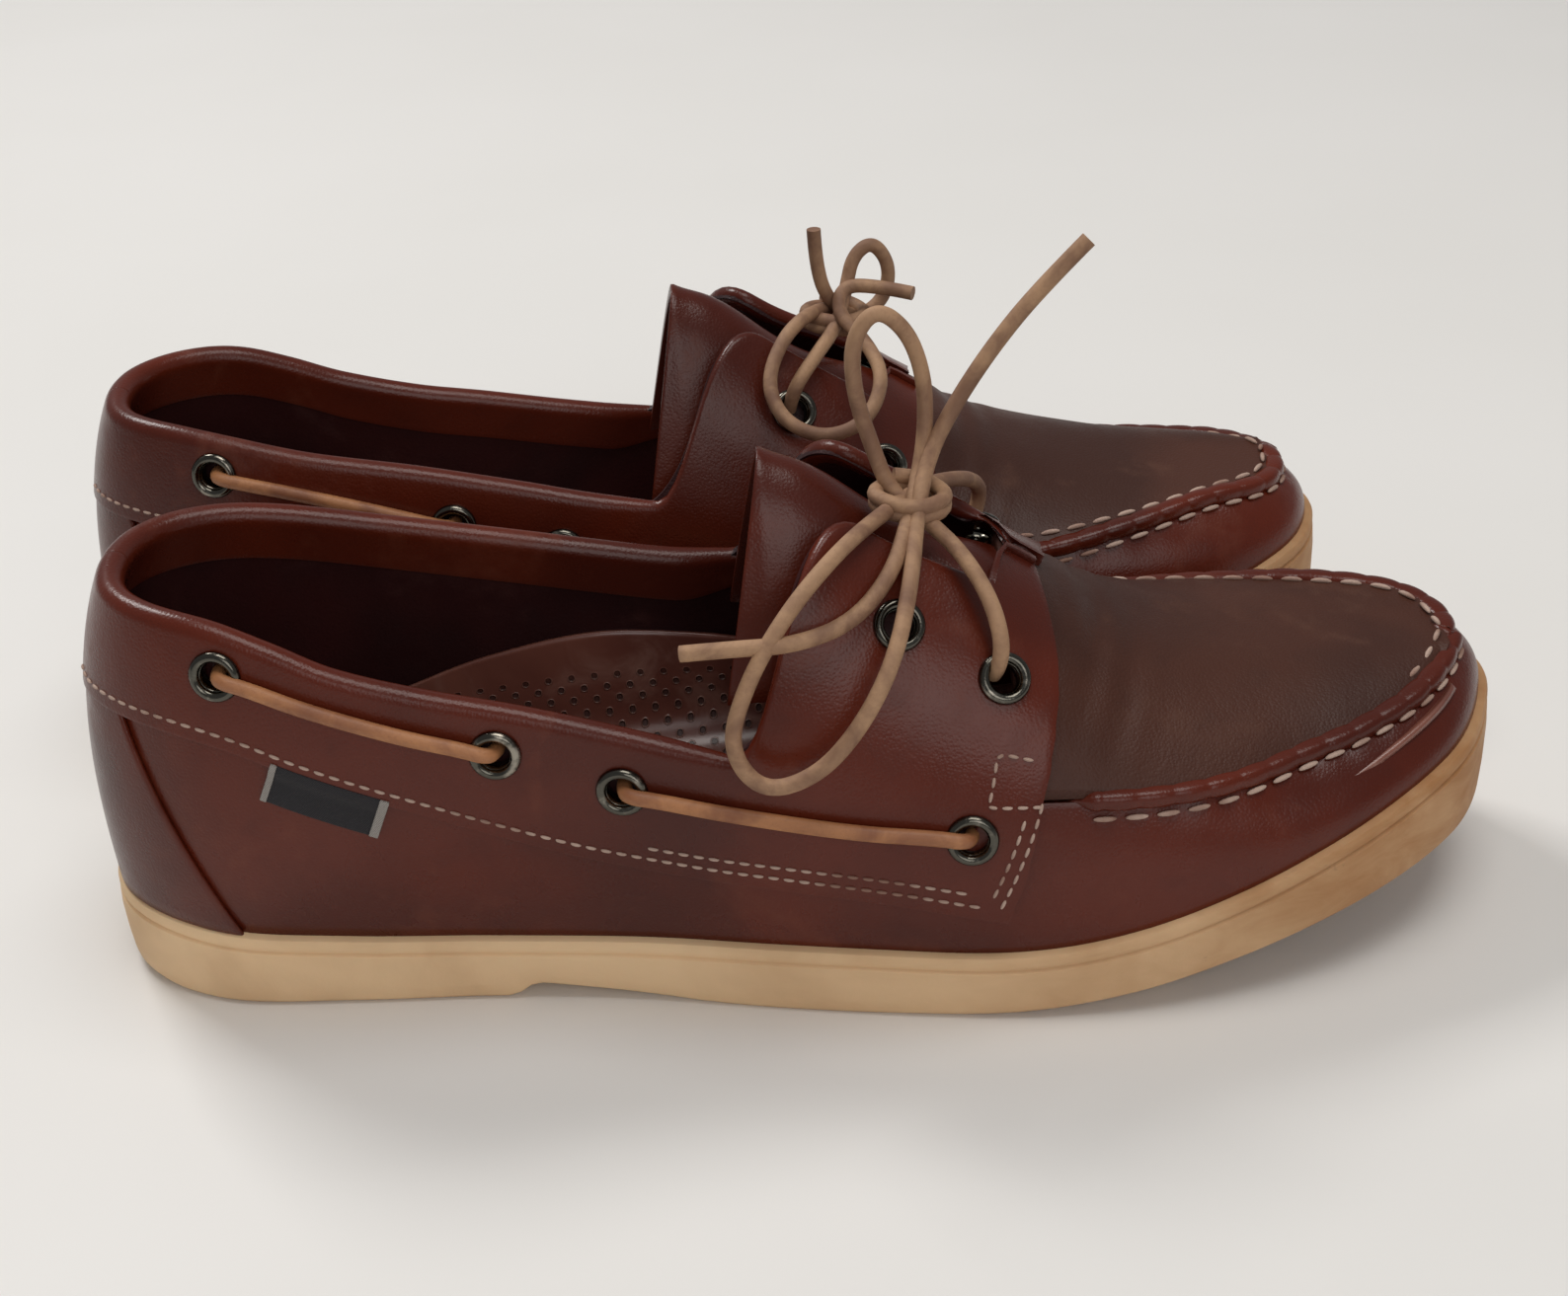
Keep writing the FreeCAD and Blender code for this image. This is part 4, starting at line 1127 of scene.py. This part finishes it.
@dataclass
class Upper:
    """Leather panels of one upper."""

    palette: Palette
    face: float = 0.66

    def quarter(self, side: Side) -> Piece:
        """Quarter with its eyestay and the rolled top edge turned in over the lining."""
        seat = LAST.gap + LAST.leather

        def front(share: float) -> float:
            """Station place of the front edge, which bows forward as it climbs."""
            bow = math.sin(math.pi / 2 * min(1.3 * share, 1.0))
            return LAST.place(side, LAST.quarter_front + LAST.saddle_bow * bow)

        fronts = {k: front(k / 64) for k in range(65)}

        def surface(u: float, v: float) -> Vector:
            """Outer face, then round the roll, then down inside."""
            climb = min(v / self.face, 1.0)
            edge = fronts[round(climb * 64)]
            if side is Side.LATERAL:
                at = 0.004 + (edge - 0.004) * u
            else:
                at = edge + (LAPS - 0.004 - edge) * u
            top = LAST.shoulder(at)
            if v <= self.face:
                low = LAST.band(at)
                turn = low + (top - low) * climb
                return self.settle(LAST.out(at, turn, seat), at, turn)
            radius = LAST.roll_radius(at)
            normal, rise = LAST.normal(at, top), LAST.rise(at, top)
            centre = LAST.wrap(at, top) + normal * (seat - radius)
            round_share = (v - self.face) / (1 - self.face)
            if round_share <= 0.6:
                angle = math.pi * round_share / 0.6
                point = centre + (normal * math.cos(angle) + rise * math.sin(angle)) * radius
            else:
                drop = (round_share - 0.6) / 0.4 * 3.0 * radius
                point = centre - normal * radius - rise * drop
            return self.settle(point, at, top)

        piece = lay_grid(f"{side.name.lower()}_quarter", surface, 128, 56)
        shape(piece, "SOLIDIFY", thickness=1.3, offset=-1.0, material_offset_rim=1)
        shape(piece, "BEVEL", width=0.4, segments=2, limit_method="ANGLE",
              angle_limit=math.radians(55))
        drill(piece, spots(side), 3.5)
        smooth(piece)
        name = piece.name
        stands_for = (name, "collar_roll", "throat_bridge") if side is Side.LATERAL else (name,)
        return Piece(dress(piece, self.palette.upper, self.palette.raw), "upper_leather",
                     stands_for)

    def settle(self, point: Vector, at: float, turn: float) -> Vector:
        """Lower the saddle over the instep so that it lies on the plug.

        Args:
            point: a point of the quarter's outer face.
            at: its station place.
            turn: its turn.

        Returns:
            The point, lowered where the saddle crosses the plug's rear.
        """
        share = ease((LAST.share(at) - 0.625) / 0.05) * ease((turn - 42) / 30)
        if share <= 0:
            return point
        half = LAST.station(at)[1] * LAST.half_ball * 0.9
        rest = LAST.plug_height(point.x, point.y,
                                abs(half)) + LAST.plug_leather + LAST.leather + 0.2
        return Vector((point.x, point.y, point.z + (rest - point.z) * share))

    def wall(self) -> Piece:
        """Side wall from the heel round the toe, with faint gathers below the plug seam."""
        start, end = LAST.place(Side.LATERAL, 0.02), LAST.place(Side.MEDIAL, 0.02)

        def surface(u: float, v: float) -> Vector:
            """Outer face of the wall."""
            at = start + (end - start) * u
            share = LAST.share(at)
            hidden = profile(BAND, share) + 8.0
            seam = profile(SEAM[LAST.side(at)], share) + 1.2
            step = ease((share - LAST.quarter_front + 0.045) / 0.040)
            turn = LAST.turn_at(at, hidden + (seam - hidden) * step) * v
            gather = ease((share - 0.70) / 0.08) * v**5 * math.sin(at * 15.0) * 0.35
            return LAST.out(at, turn, gather)

        piece = hide("wall", surface, 330, 22, 1.6)
        return Piece(dress(piece, self.palette.upper, self.palette.raw), "upper_leather",
                     ("wall", "toe_lining"))

    def backstay(self) -> Piece:
        """Counter piece over the back of the heel, tapering up to the band."""
        def edge(side: Side, v: float) -> float:
            """Station place of the piece's side edge."""
            share = 0.105 - 0.062 * v**0.8
            return LAST.place(side, share)

        def surface(u: float, v: float) -> Vector:
            """Outer face."""
            low, high = edge(Side.MEDIAL, v), LAPS + edge(Side.LATERAL, v)
            at = low + (high - low) * u
            return LAST.out(at, LAST.band(at, 2.0) * v, 1.3)

        piece = hide("backstay", surface, 60, 26, 1.25, 0.5)
        return Piece(dress(piece, self.palette.upper, self.palette.raw), "upper_leather",
                     ("backstay",))

    def plug(self) -> Piece:
        """Crowned top leather of the forefoot with faint flex creases behind the toes."""
        rear = 0.652 * LAST.length
        tip = max(LAST.seam_point(TOE + k / 10).x for k in range(-12, 13))
        places: dict[float, tuple[float, float]] = {}

        def surface(u: float, v: float) -> Vector:
            """Outer face."""
            x = rear + (tip - 2.4 - rear) * math.sin(math.pi / 2 * u)
            if u not in places:
                places[u] = tuple(LAST.plug_side(side, x) for side in Side)
            low, high = places[u]
            y = low + (high - low) * v
            half = abs(low if y < 0 else high)
            share = x / LAST.length
            z = LAST.plug_height(x, y, half) + LAST.plug_leather
            middle = 1 - abs(2 * v - 1) ** 3
            crease = math.exp(-((share - 0.715) / 0.028) ** 2) * middle
            z -= crease * 0.8 * (0.5 + 0.5 * math.sin(x * 0.75 + 0.05 * y * y / 10))
            return Vector((x, y, z))

        piece = lay_grid("plug", surface, 110, 60)
        shape(piece, "SOLIDIFY", thickness=LAST.plug_leather, offset=-1.0)
        weld(piece, 0.01, outward=False)
        smooth(piece)
        return Piece(dress(piece, self.palette.plug), "plug_leather", ("plug",))

    def ridge(self) -> Piece:
        """Raised moccasin seam round the plug, pinched at every stitch."""
        start, end = LAST.place(Side.LATERAL, 0.684), LAST.place(Side.MEDIAL, 0.684)
        places = spread(start, end, 420)
        route, ups = [], []
        for at in places:
            turn = LAST.seam(at)
            route.append(LAST.wrap(at, turn) + Vector((0, 0, 1.6)) - LAST.normal(at, turn) * 0.9)
            ups.append(Vector((0, 0, 1)))
        reach = [0.0]
        for a, b in zip(route, route[1:]):
            reach.append(reach[-1] + (b - a).length)

        def section(k: int, v: float) -> tuple[float, float]:
            """Squarish section, narrower at each stitch."""
            pinch = abs(math.sin(math.pi * reach[k] / 7.0)) ** 0.6
            ends = ease(min(reach[k], reach[-1] - reach[k]) / 6.0)
            wide, tall = 2.5 * (0.84 + 0.16 * pinch) * ends, 2.1 * (0.88 + 0.12 * pinch) * ends
            angle = 2 * math.pi * v
            power = 0.75
            c, s = math.cos(angle), math.sin(angle)
            return (math.copysign(abs(c) ** power, c) * wide,
                    math.copysign(abs(s) ** power, s) * tall)

        piece = sweep("seam_ridge", route, section, 20, ups)
        return Piece(dress(piece, self.palette.upper), "upper_leather")

    def lining_piece(self) -> Piece:
        """Lining round the collar and waist, tucked under the turned-in top edge."""
        start = LAST.place(Side.MEDIAL, 0.63)
        end = LAPS + LAST.place(Side.LATERAL, 0.63)

        def surface(u: float, v: float) -> Vector:
            """Inner face, seen from inside the shoe."""
            at = start + (end - start) * u
            radius = LAST.roll_radius(at)
            depth = max(2 * radius - LAST.gap - LAST.leather - 1.0, 2.0)
            turn = (LAST.shoulder(at) - 1.0) * (1 - v)
            return LAST.out(at, turn, -depth)

        piece = lay_grid("quarter_lining", surface, 150, 30)
        shape(piece, "SOLIDIFY", thickness=0.9, offset=-1.0)
        smooth(piece)
        return Piece(dress(piece, self.palette.inside), "lining_leather",
                     ("quarter_lining", "collar_padding", "heel_stiffener"))

    def tongue(self) -> Piece:
        """Tongue: one arched leather from under the saddle to its curled free end."""
        half = 23.0

        def surface(u: float, v: float) -> Vector:
            """Upper face."""
            side = abs(2 * v - 1)
            share = 0.668 + (0.488 - 0.030 * side**2 - 0.668) * u
            y = half * (2 * v - 1) * (0.82 + 0.18 * ease(u * 1.6))
            ridge, arch = profile(TONGUE_RIDGE, share), profile(TONGUE_ARCH, share)
            curl = 1.3 * ease((u - 0.82) / 0.18) * (1 - side**2)
            wave = 0.5 * math.sin(u * 9.0 + v * 4.0) * ease(u * 2)
            return Vector((share * LAST.length, y,
                           ridge - arch * y * y + LAST.plug_leather / 2 - curl + wave))

        piece = hide("tongue", lambda u, v: surface(u, 1 - v), 70, 44, 2.1, 0.5)
        start = Vector((0.585 * LAST.length, 0, 90))
        end = Vector((0.560 * LAST.length, 0, 90))
        return Piece(dress(piece, self.palette.upper, self.palette.raw), "upper_leather",
                     ("tongue_root", "tongue_flap"), (start, end))

    def tag(self) -> list[Piece]:
        """Plain woven tag on the outer side, with a paler fold at each end."""
        start, end = LAST.place(Side.LATERAL, 0.148), LAST.place(Side.LATERAL, 0.221)

        def cloth(first: float, last: float, lift: float) -> Surface:
            """Surface between two shares of the tag's width."""
            def surface(u: float, v: float) -> Vector:
                """Outer face of the tag."""
                lean = 0.18 * (v - 0.5)
                at = start + (end - start) * (first + (last - first) * u + lean)
                return LAST.out(at, LAST.band(at, -9.6 + 10.8 * v),
                                lift + 1.3 * ease(v * 3.0 - 1.6))
            return surface

        field_piece = hide("label", cloth(0.0, 1.0, 0.75), 20, 12, 0.7, 0.15)
        dress(field_piece, self.palette.label, self.palette.label)
        pieces = [Piece(field_piece, "woven_label", ("label",))]
        for name, first, last in (("label_rear_fold", -0.01, 0.045),
                                  ("label_front_fold", 0.93, 1.01)):
            fold = hide(name, cloth(first, last, 1.05), 4, 12, 0.95, 0.15)
            pieces.append(Piece(dress(fold, self.palette.label_edge, self.palette.label_edge),
                                "woven_label"))
        return pieces


def spot(side: Side, share: float, height: float) -> tuple[Vector, Vector]:
    """Centre and outward normal of an eyelet on the upper's surface."""
    low, high = (0.3, TOE) if side is Side.LATERAL else (LAPS - 0.3, TOE)
    at, turn = low, 0.0
    for _ in range(30):
        at = (low + high) / 2
        turn = LAST.turn_at(at, height)
        if LAST.wrap(at, turn).x < share * LAST.length:
            low = at
        else:
            high = at
    return LAST.wrap(at, turn), LAST.normal(at, turn)


def spots(side: Side) -> list[tuple[Vector, Vector]]:
    """Every eyelet of one side, the side ones first."""
    return [spot(side, *row) for row in SIDE_EYELETS[side] + FRONT_EYELETS[side]]


@dataclass
class Fittings:
    """Eyelets, held laces and stitching of one upper."""

    palette: Palette
    hole: float = 3.1
    rim: float = 5.3
    lace: float = 3.2
    seat: float = 1.85

    def eyelets(self) -> list[Piece]:
        """Turned-over metal eyelets with a barrel through the leather."""
        groups = {"side_eyelets": [], "front_eyelets": []}
        for side in Side:
            for index, (centre, normal) in enumerate(spots(side)):
                group = "side_eyelets" if index < 4 else "front_eyelets"
                groups[group].append(self.eyelet(centre, normal))
        return [
            Piece(dress(join(metal, name), self.palette.metal), "eyelet_metal", (name,))
            for name, metal in groups.items()
        ]

    def eyelet(self, centre: Vector, normal: Vector) -> bpy.types.Object:
        """One eyelet: a domed flange and its barrel."""
        middle = (self.hole + self.rim) / 2
        wide = (self.rim - self.hole) / 2
        turn = normal.to_track_quat("Z", "Y")
        bpy.ops.object.select_all(action="DESELECT")
        bpy.ops.mesh.primitive_torus_add(major_segments=36, minor_segments=12, major_radius=middle,
                                         minor_radius=wide)
        flange = bpy.context.object
        for vertex in flange.data.vertices:
            vertex.co.z = vertex.co.z * 1.15 if vertex.co.z > 0 else vertex.co.z * 0.3
        smooth(flange)
        bpy.ops.object.select_all(action="DESELECT")
        bpy.ops.mesh.primitive_cylinder_add(vertices=36, radius=self.hole + 0.35, depth=3.4,
                                            end_fill_type="NOTHING",
                                            location=(0, 0, -1.5))
        barrel = bpy.context.object
        shape(barrel, "SOLIDIFY", thickness=0.35, offset=-1.0)
        smooth(barrel)
        metal = join([flange, barrel], "eyelet")
        seat = Matrix.Translation(centre + normal * (self.seat + 0.25))
        metal.data.transform(seat @ turn.to_matrix().to_4x4())
        return metal

    def side_laces(self) -> list[bpy.types.Object]:
        """Stretches of lace that show between the side eyelets, as points for curves."""
        runs = []
        for side in Side:
            found = spots(side)
            for first, second in ((0, 1), (2, 3)):
                (a, na), (b, nb) = found[first], found[second]
                along = (b - a).normalized()
                off = self.seat + self.lace / 2
                middle = (a + b) / 2
                lift = (na + nb).normalized()
                lean = 0.9 if side is Side.LATERAL else -0.6
                sag = Vector((0, 0, -lean))

                def end(point: Vector, normal: Vector, inward: Vector) -> list[Vector]:
                    """Half of a stretch, from inside its eyelet to near the middle."""
                    return [point - normal * 1.6, point - normal * 0.4,
                            point + normal * (off + 0.4) + inward * 1.2,
                            point + normal * (off + 0.3) + inward * 7.0,
                            middle.lerp(point, 0.35) + lift * (off + 1.0) + sag]

                runs.append(end(a, na, along) + end(b, nb, -along)[::-1])
        return runs

    def row(self, side: Side, lift: float, start: float,
            end: float) -> list[tuple[Vector, Vector, Vector]]:
        """Stitches along the quarter's lower edge, a lift above it, between two shares."""
        places = spread(LAST.place(side, start), LAST.place(side, end), 90)
        path, normals = [], []
        for at in places:
            turn = LAST.band(at, lift)
            path.append(LAST.out(at, turn, self.seat + 0.02))
            normals.append(LAST.normal(at, turn))
        return dashes(path, normals, STITCH_PITCH, STITCH_FILL)

    def front_rows(self, side: Side) -> list[tuple[Vector, Vector, Vector]]:
        """Two rows of stitches up the quarter's front edge and the box at its top."""
        bars = []

        def point(back: float, height: float) -> tuple[float, float]:
            """Station place and turn at a distance behind the front edge."""
            climb = min(max((height - 24.0) / 62.0, 0.0), 1.0)
            bow = math.sin(math.pi / 2 * min(1.3 * climb, 1.0))
            share = LAST.quarter_front + LAST.saddle_bow * bow - back / LAST.length
            at = LAST.place(side, share)
            return at, LAST.turn_at(at, height)

        def line(ends: Sequence[tuple[float, float]], pitch: float) -> None:
            """Sew from corner to corner."""
            path, normals = [], []
            for (b0, h0), (b1, h1) in zip(ends, ends[1:]):
                for k in range(13):
                    at, turn = point(b0 + (b1 - b0) * k / 12, h0 + (h1 - h0) * k / 12)
                    path.append(LAST.out(at, turn, self.seat + 0.02))
                    normals.append(LAST.normal(at, turn))
            clean = [(p, n) for k,
                     (p,
                      n) in enumerate(zip(path,
                                          normals)) if k == 0 or (p - path[k - 1]).length > 1e-4]
            bars.extend(dashes([p for p, _ in clean], [n for _, n in clean], pitch, 0.72))

        line([(3.0, 27.5), (3.0, 50.0)], 3.1)
        line([(5.6, 30.0), (5.6, 47.0)], 3.1)
        line([(2.6, 48.0), (13.6, 48.5), (13.8, 58.3), (5.0, 56.0)], 3.0)
        return bars

    def stitching(self) -> list[Piece]:
        """Fine rows on the quarters and the thick hand stitches round the plug."""
        bars = []
        for side in Side:
            bars += self.row(side, 3.0, 0.006, 0.632)
            bars += self.row(side, 5.6, 0.40, 0.622)
            bars += self.front_rows(side)
        fine = scatter_bars("band_stitches", bars, 0.75, 0.25)
        thick = []
        places = spread(LAST.place(Side.LATERAL, 0.70), LAST.place(Side.MEDIAL, 0.70), 160)
        for outer in (True, False):
            path, normals = [], []
            for at in places:
                turn = LAST.seam(at)
                base, normal = LAST.wrap(at, turn), LAST.normal(at, turn)
                if outer:
                    below = LAST.turn_at(at, base.z - LAST.rise(at, turn).z * 2.3)
                    path.append(LAST.out(at, below, 0.5))
                    normals.append(LAST.normal(at, below))
                elif at > 12.0:
                    place = base - Vector((normal.x, normal.y, 0)).normalized() * 3.0
                    place.z = LAST.plug_height(place.x, place.y,
                                               abs(base.y)) + LAST.plug_leather + 0.15
                    path.append(place)
                    normals.append(Vector((0, 0, 1)))
            thick += dashes(path, normals, 6.4, 0.74)
        seam = scatter_bars("seam_stitches", thick, 1.15, 0.4)
        return [
            Piece(dress(fine, self.palette.thread), "thread", ("band_stitches",)),
            Piece(dress(seam, self.palette.thread), "thread", ("seam_stitches",)),
        ]


@dataclass
class Bow:
    """Rawhide bow of one shoe: two free lace ends and the wrap that ties them.

    Points are in that shoe's own place, the way it is worn, with -y towards the right-hand side.
    """

    foot: Foot
    centre: tuple[float, float, float]
    lateral: tuple[tuple[float, float, float], ...]
    medial: tuple[tuple[float, float, float], ...]
    lengths: tuple[float, float]
    diameter: float = 3.3

    def points(self, rows: Iterable[tuple[float, float, float]]) -> list[Vector]:
        """The points in the pair's frame, in metres."""
        place = Stand(self.foot).matrix(mirrored=False)
        return [place @ Vector(row) for row in rows]

    def build(self, palette: Palette) -> None:
        """Make the bow's wrap and its two cords."""
        body = Stand(self.foot).body
        knot = self.wrap()
        dress_curve(knot, palette.bow)
        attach(knot, body)
        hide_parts(f"{self.foot.value}_knot")
        for side, rows, length in (("lateral", self.lateral, self.lengths[0]),
                                   ("medial", self.medial, self.lengths[1])):
            route = self.points(rows)
            lace = cord_curve(f"{self.foot.value}_bow_{side}", route, self.diameter / 2 * MM)
            dress_curve(lace, palette.bow)
            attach(lace, body)
            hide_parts(f"{self.foot.value}_bow_lace_{side}")
            tuple(route[0])
            LOG.info("%s: %d points", lace.name, len(route))

    def wrap(self) -> bpy.types.Object:
        """Two turns of lace round the middle of the bow, as one winding."""
        x, y, z = self.centre
        rows = []
        for k in range(21):
            angle = 2 * math.pi * k / 9 + 0.6
            reach = 1.0 + 0.05 * math.sin(3.1 * k)
            rows.append((x + 7.2 * reach * math.cos(angle), y + 6.2 * reach * math.sin(angle),
                         z - 1.9 + 4.4 * k / 20 - 1.2 * math.cos(angle)))
        return cord_curve(f"{self.foot.value}_bow_knot", self.points(rows), self.diameter / 2 * MM)


def dress_curve(piece: bpy.types.Object, material: bpy.types.Material) -> None:
    """Give a curve its material."""
    piece.data.materials.append(material)


BOWS = (
    Bow(Foot.RIGHT, (174, -6, 97.5),
        lateral=((188, -31, 71), (190, -34.5, 76), (189, -28, 84), (184, -19, 91), (177, -10, 95),
                 (170, -4, 99), (167, -2, 108), (164, -1, 119), (164, 0, 130), (169, 0, 136.5),
                 (175, 1, 131),
                 (178, 2, 121), (178, 1, 110), (176, -3, 101), (173, -14, 96), (169, -26.5, 91.5),
                 (161, -35, 86.5), (150, -39.5, 85), (139, -40.5, 85.5), (128, -39.5, 84.5)),
        medial=((188, 28, 73), (191, 31.5, 79), (189, 23, 87), (184, 12, 93), (178, 2, 97),
                (169, -12, 98.5),
                (159, -27, 98), (148, -37.5, 90), (140, -44, 79), (136, -47.5, 67.5),
                (142, -49, 58),
                (153, -48.5, 61), (162, -47, 71), (169, -41, 82), (173, -27, 91), (175, -12, 97),
                (178, -2, 105), (184, 1, 115), (192, 3, 126), (201, 5, 136), (211, 7, 145)),
        lengths=(199.7, 269.7)),
    Bow(Foot.LEFT, (182, -5, 98.5),
        medial=((169, -25, 85), (170, -28, 91), (176, -21, 96), (182, -11, 99), (185, -3, 105),
                (187, -1, 112), (192, 0, 115), (196, 1, 108), (194, 0, 100), (187, -3, 97),
                (181, -5, 102),
                (178, -6, 111), (178, -6, 121)),
        lateral=((188, 30, 71), (190, 34, 76), (189, 26, 86), (186, 13, 93), (182, 0, 99),
                 (176, -11, 103),
                 (169, -20, 101), (164, -29, 94), (167, -36, 87), (176, -39.5, 83.5),
                 (186, -38, 86),
                 (191, -30, 93), (188, -20, 98), (182, -11, 102), (184, -4, 106), (192, -6, 106),
                 (200, -10, 105)),
        lengths=(172.0, 100.8)),
)


@dataclass
class Pair:
    """Both shoes: every pattern piece is made once and set down twice."""

    palette: Palette

    def patterns(self) -> list[Piece]:
        """Make each pattern piece in the right shoe's own frame."""
        sole, upper, fittings = Sole(self.palette), Upper(self.palette), Fittings(self.palette)
        pieces = [sole.walls(), sole.footbed(), upper.wall(), upper.backstay(), upper.plug(),
                  upper.ridge()]
        pieces += [upper.quarter(side) for side in Side]
        pieces += [upper.lining_piece(), upper.tongue(), *upper.tag()]
        pieces += fittings.eyelets() + fittings.stitching()
        return pieces

    def set_down(self, piece: Piece, stand: Stand) -> None:
        """Copy a pattern piece to one shoe's place and tie it to that shoe, unless it lists bend
        points; such a piece is left untied.

        Args:
            piece: the pattern piece.
            stand: where the shoe stands.
        """
        foot = stand.foot.value
        copy = piece.mesh.copy()
        copy.data = piece.mesh.data.copy()
        copy.name = f"{foot}_{piece.mesh.name}_piece"
        bpy.context.collection.objects.link(copy)
        matrix = stand.matrix()
        copy.data.transform(matrix)
        if matrix.determinant() < 0:
            copy.data.flip_normals()
        copy.data.update()
        if piece.bends:
            start, end = (matrix @ point for point in piece.bends)
            stand.body
            tuple(start)
            tuple(end)
            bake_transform(copy)
        else:
            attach(copy, stand.body)
        if piece.replaces:
            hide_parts(*(f"{foot}_{name}" for name in piece.replaces))
        LOG.info("%s: %d faces", copy.name, len(copy.data.polygons))

    def held_laces(self, stand: Stand) -> None:
        """Lay the stretches of lace that show between the side eyelets of one shoe."""
        foot, matrix = stand.foot.value, stand.matrix()
        for index, run in enumerate(Fittings(self.palette).side_laces()):
            lace = cord_curve(f"{foot}_side_lace_{index + 1}", [matrix @ point for point in run],
                              1.6 * MM)
            dress_curve(lace, self.palette.side_lace)
            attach(lace, stand.body)
            if index == 0:
                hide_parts(f"{foot}_side_lace")

    def inner_layers(self) -> None:
        """Finish the hidden layers that stay as they are in the frame."""
        looks = {"lasting_board": self.palette.board, "lateral_backing": self.palette.inside,
                 "medial_backing": self.palette.inside}
        for foot in Foot:
            for name, material in looks.items():
                dress(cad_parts[f"{foot.value}_{name}"], material)

    def build(self) -> None:
        """Build both shoes."""
        for piece in self.patterns():
            for foot in Foot:
                self.set_down(piece, Stand(foot))
            bpy.data.objects.remove(piece.mesh)
        for foot in Foot:
            self.held_laces(Stand(foot))
        self.inner_layers()


@dataclass
class Studio:
    """Pale floor, soft lights and the camera."""

    camera_place: tuple[float, float, float] = (158.8, -415.3, 302.3)
    yaw: float = 1.67
    pitch: float = 30.08
    roll: float = -4.09
    focal: float = 52.57

    def camera(self) -> None:
        """Make the camera."""
        yaw, pitch, roll = (math.radians(a) for a in (self.yaw, self.pitch, self.roll))
        ahead = Vector((-math.sin(yaw) * math.cos(pitch), math.cos(yaw) * math.cos(pitch),
                        -math.sin(pitch)))
        right = Vector((math.cos(yaw), math.sin(yaw), 0))
        up = right.cross(ahead)
        tilted = right * math.cos(roll) + up * math.sin(roll)
        top = up * math.cos(roll) - right * math.sin(roll)
        data = bpy.data.cameras.new("camera")
        data.lens = self.focal
        data.sensor_width = 36.0
        data.sensor_fit = "HORIZONTAL"
        camera = bpy.data.objects.new("camera", data)
        bpy.context.collection.objects.link(camera)
        turn = Matrix((tilted, top, -ahead)).transposed().to_4x4()
        camera.matrix_world = Matrix.Translation(SHIFT + Vector(self.camera_place) * MM) @ turn
        bpy.context.scene.camera = camera

    def floor(self) -> None:
        """Make the floor."""
        bpy.ops.object.select_all(action="DESELECT")
        bpy.ops.mesh.primitive_plane_add(size=FLOOR_SIZE, location=(0, 0, 0))
        floor = bpy.context.object
        floor.name = "floor"
        recipe = Recipe("pale_floor")
        cloud = recipe.noise(5, 3)
        recipe.set(Base_Color=recipe.mix(cloud, (0.80, 0.79, 0.76), (0.86, 0.85, 0.83)),
                   Roughness=0.55)
        floor.data.materials.append(recipe.material)

    def light(self, name: str, place: tuple[float, float, float], size: float, power: float,
              tint: Colour) -> None:
        """Aim one soft square light at the shoes."""
        data = bpy.data.lights.new(name, "AREA")
        data.size = size
        data.energy = power
        data.color = tint
        lamp = bpy.data.objects.new(name, data)
        bpy.context.collection.objects.link(lamp)
        lamp.location = place
        lamp.rotation_mode = "QUATERNION"
        lamp.rotation_quaternion = (LIGHTS_AIM - Vector(place)).to_track_quat("-Z", "Y")

    def build(self) -> None:
        """Make the studio."""
        self.camera()
        self.floor()
        self.light("window", (-0.8, 0.9, 1.5), 0.55, 15.0, (1.0, 0.98, 0.96))
        self.light("ceiling", (0.3, -0.1, 1.9), 1.0, 14.0, (1.0, 0.97, 0.93))
        self.light("front_fill", (0.4, -1.5, 0.9), 1.0, 6.0, (1.0, 0.98, 0.96))
        world = bpy.data.worlds.new("room")
        world.use_nodes = True
        world.node_tree.nodes["Background"].inputs[0].default_value = (0.95, 0.95, 0.97, 1.0)
        world.node_tree.nodes["Background"].inputs[1].default_value = 0.22
        bpy.context.scene.world = world
        bpy.context.scene.view_settings.view_transform = "Standard"


def main() -> None:
    """Build the studio, the bows and the pair."""
    logging.basicConfig(level=logging.INFO, format="%(message)s")
    Studio().build()
    palette = Palette()
    for bow in BOWS:
        bow.build(palette)
    Pair(palette).build()


if __name__ == "__main__":
    main()
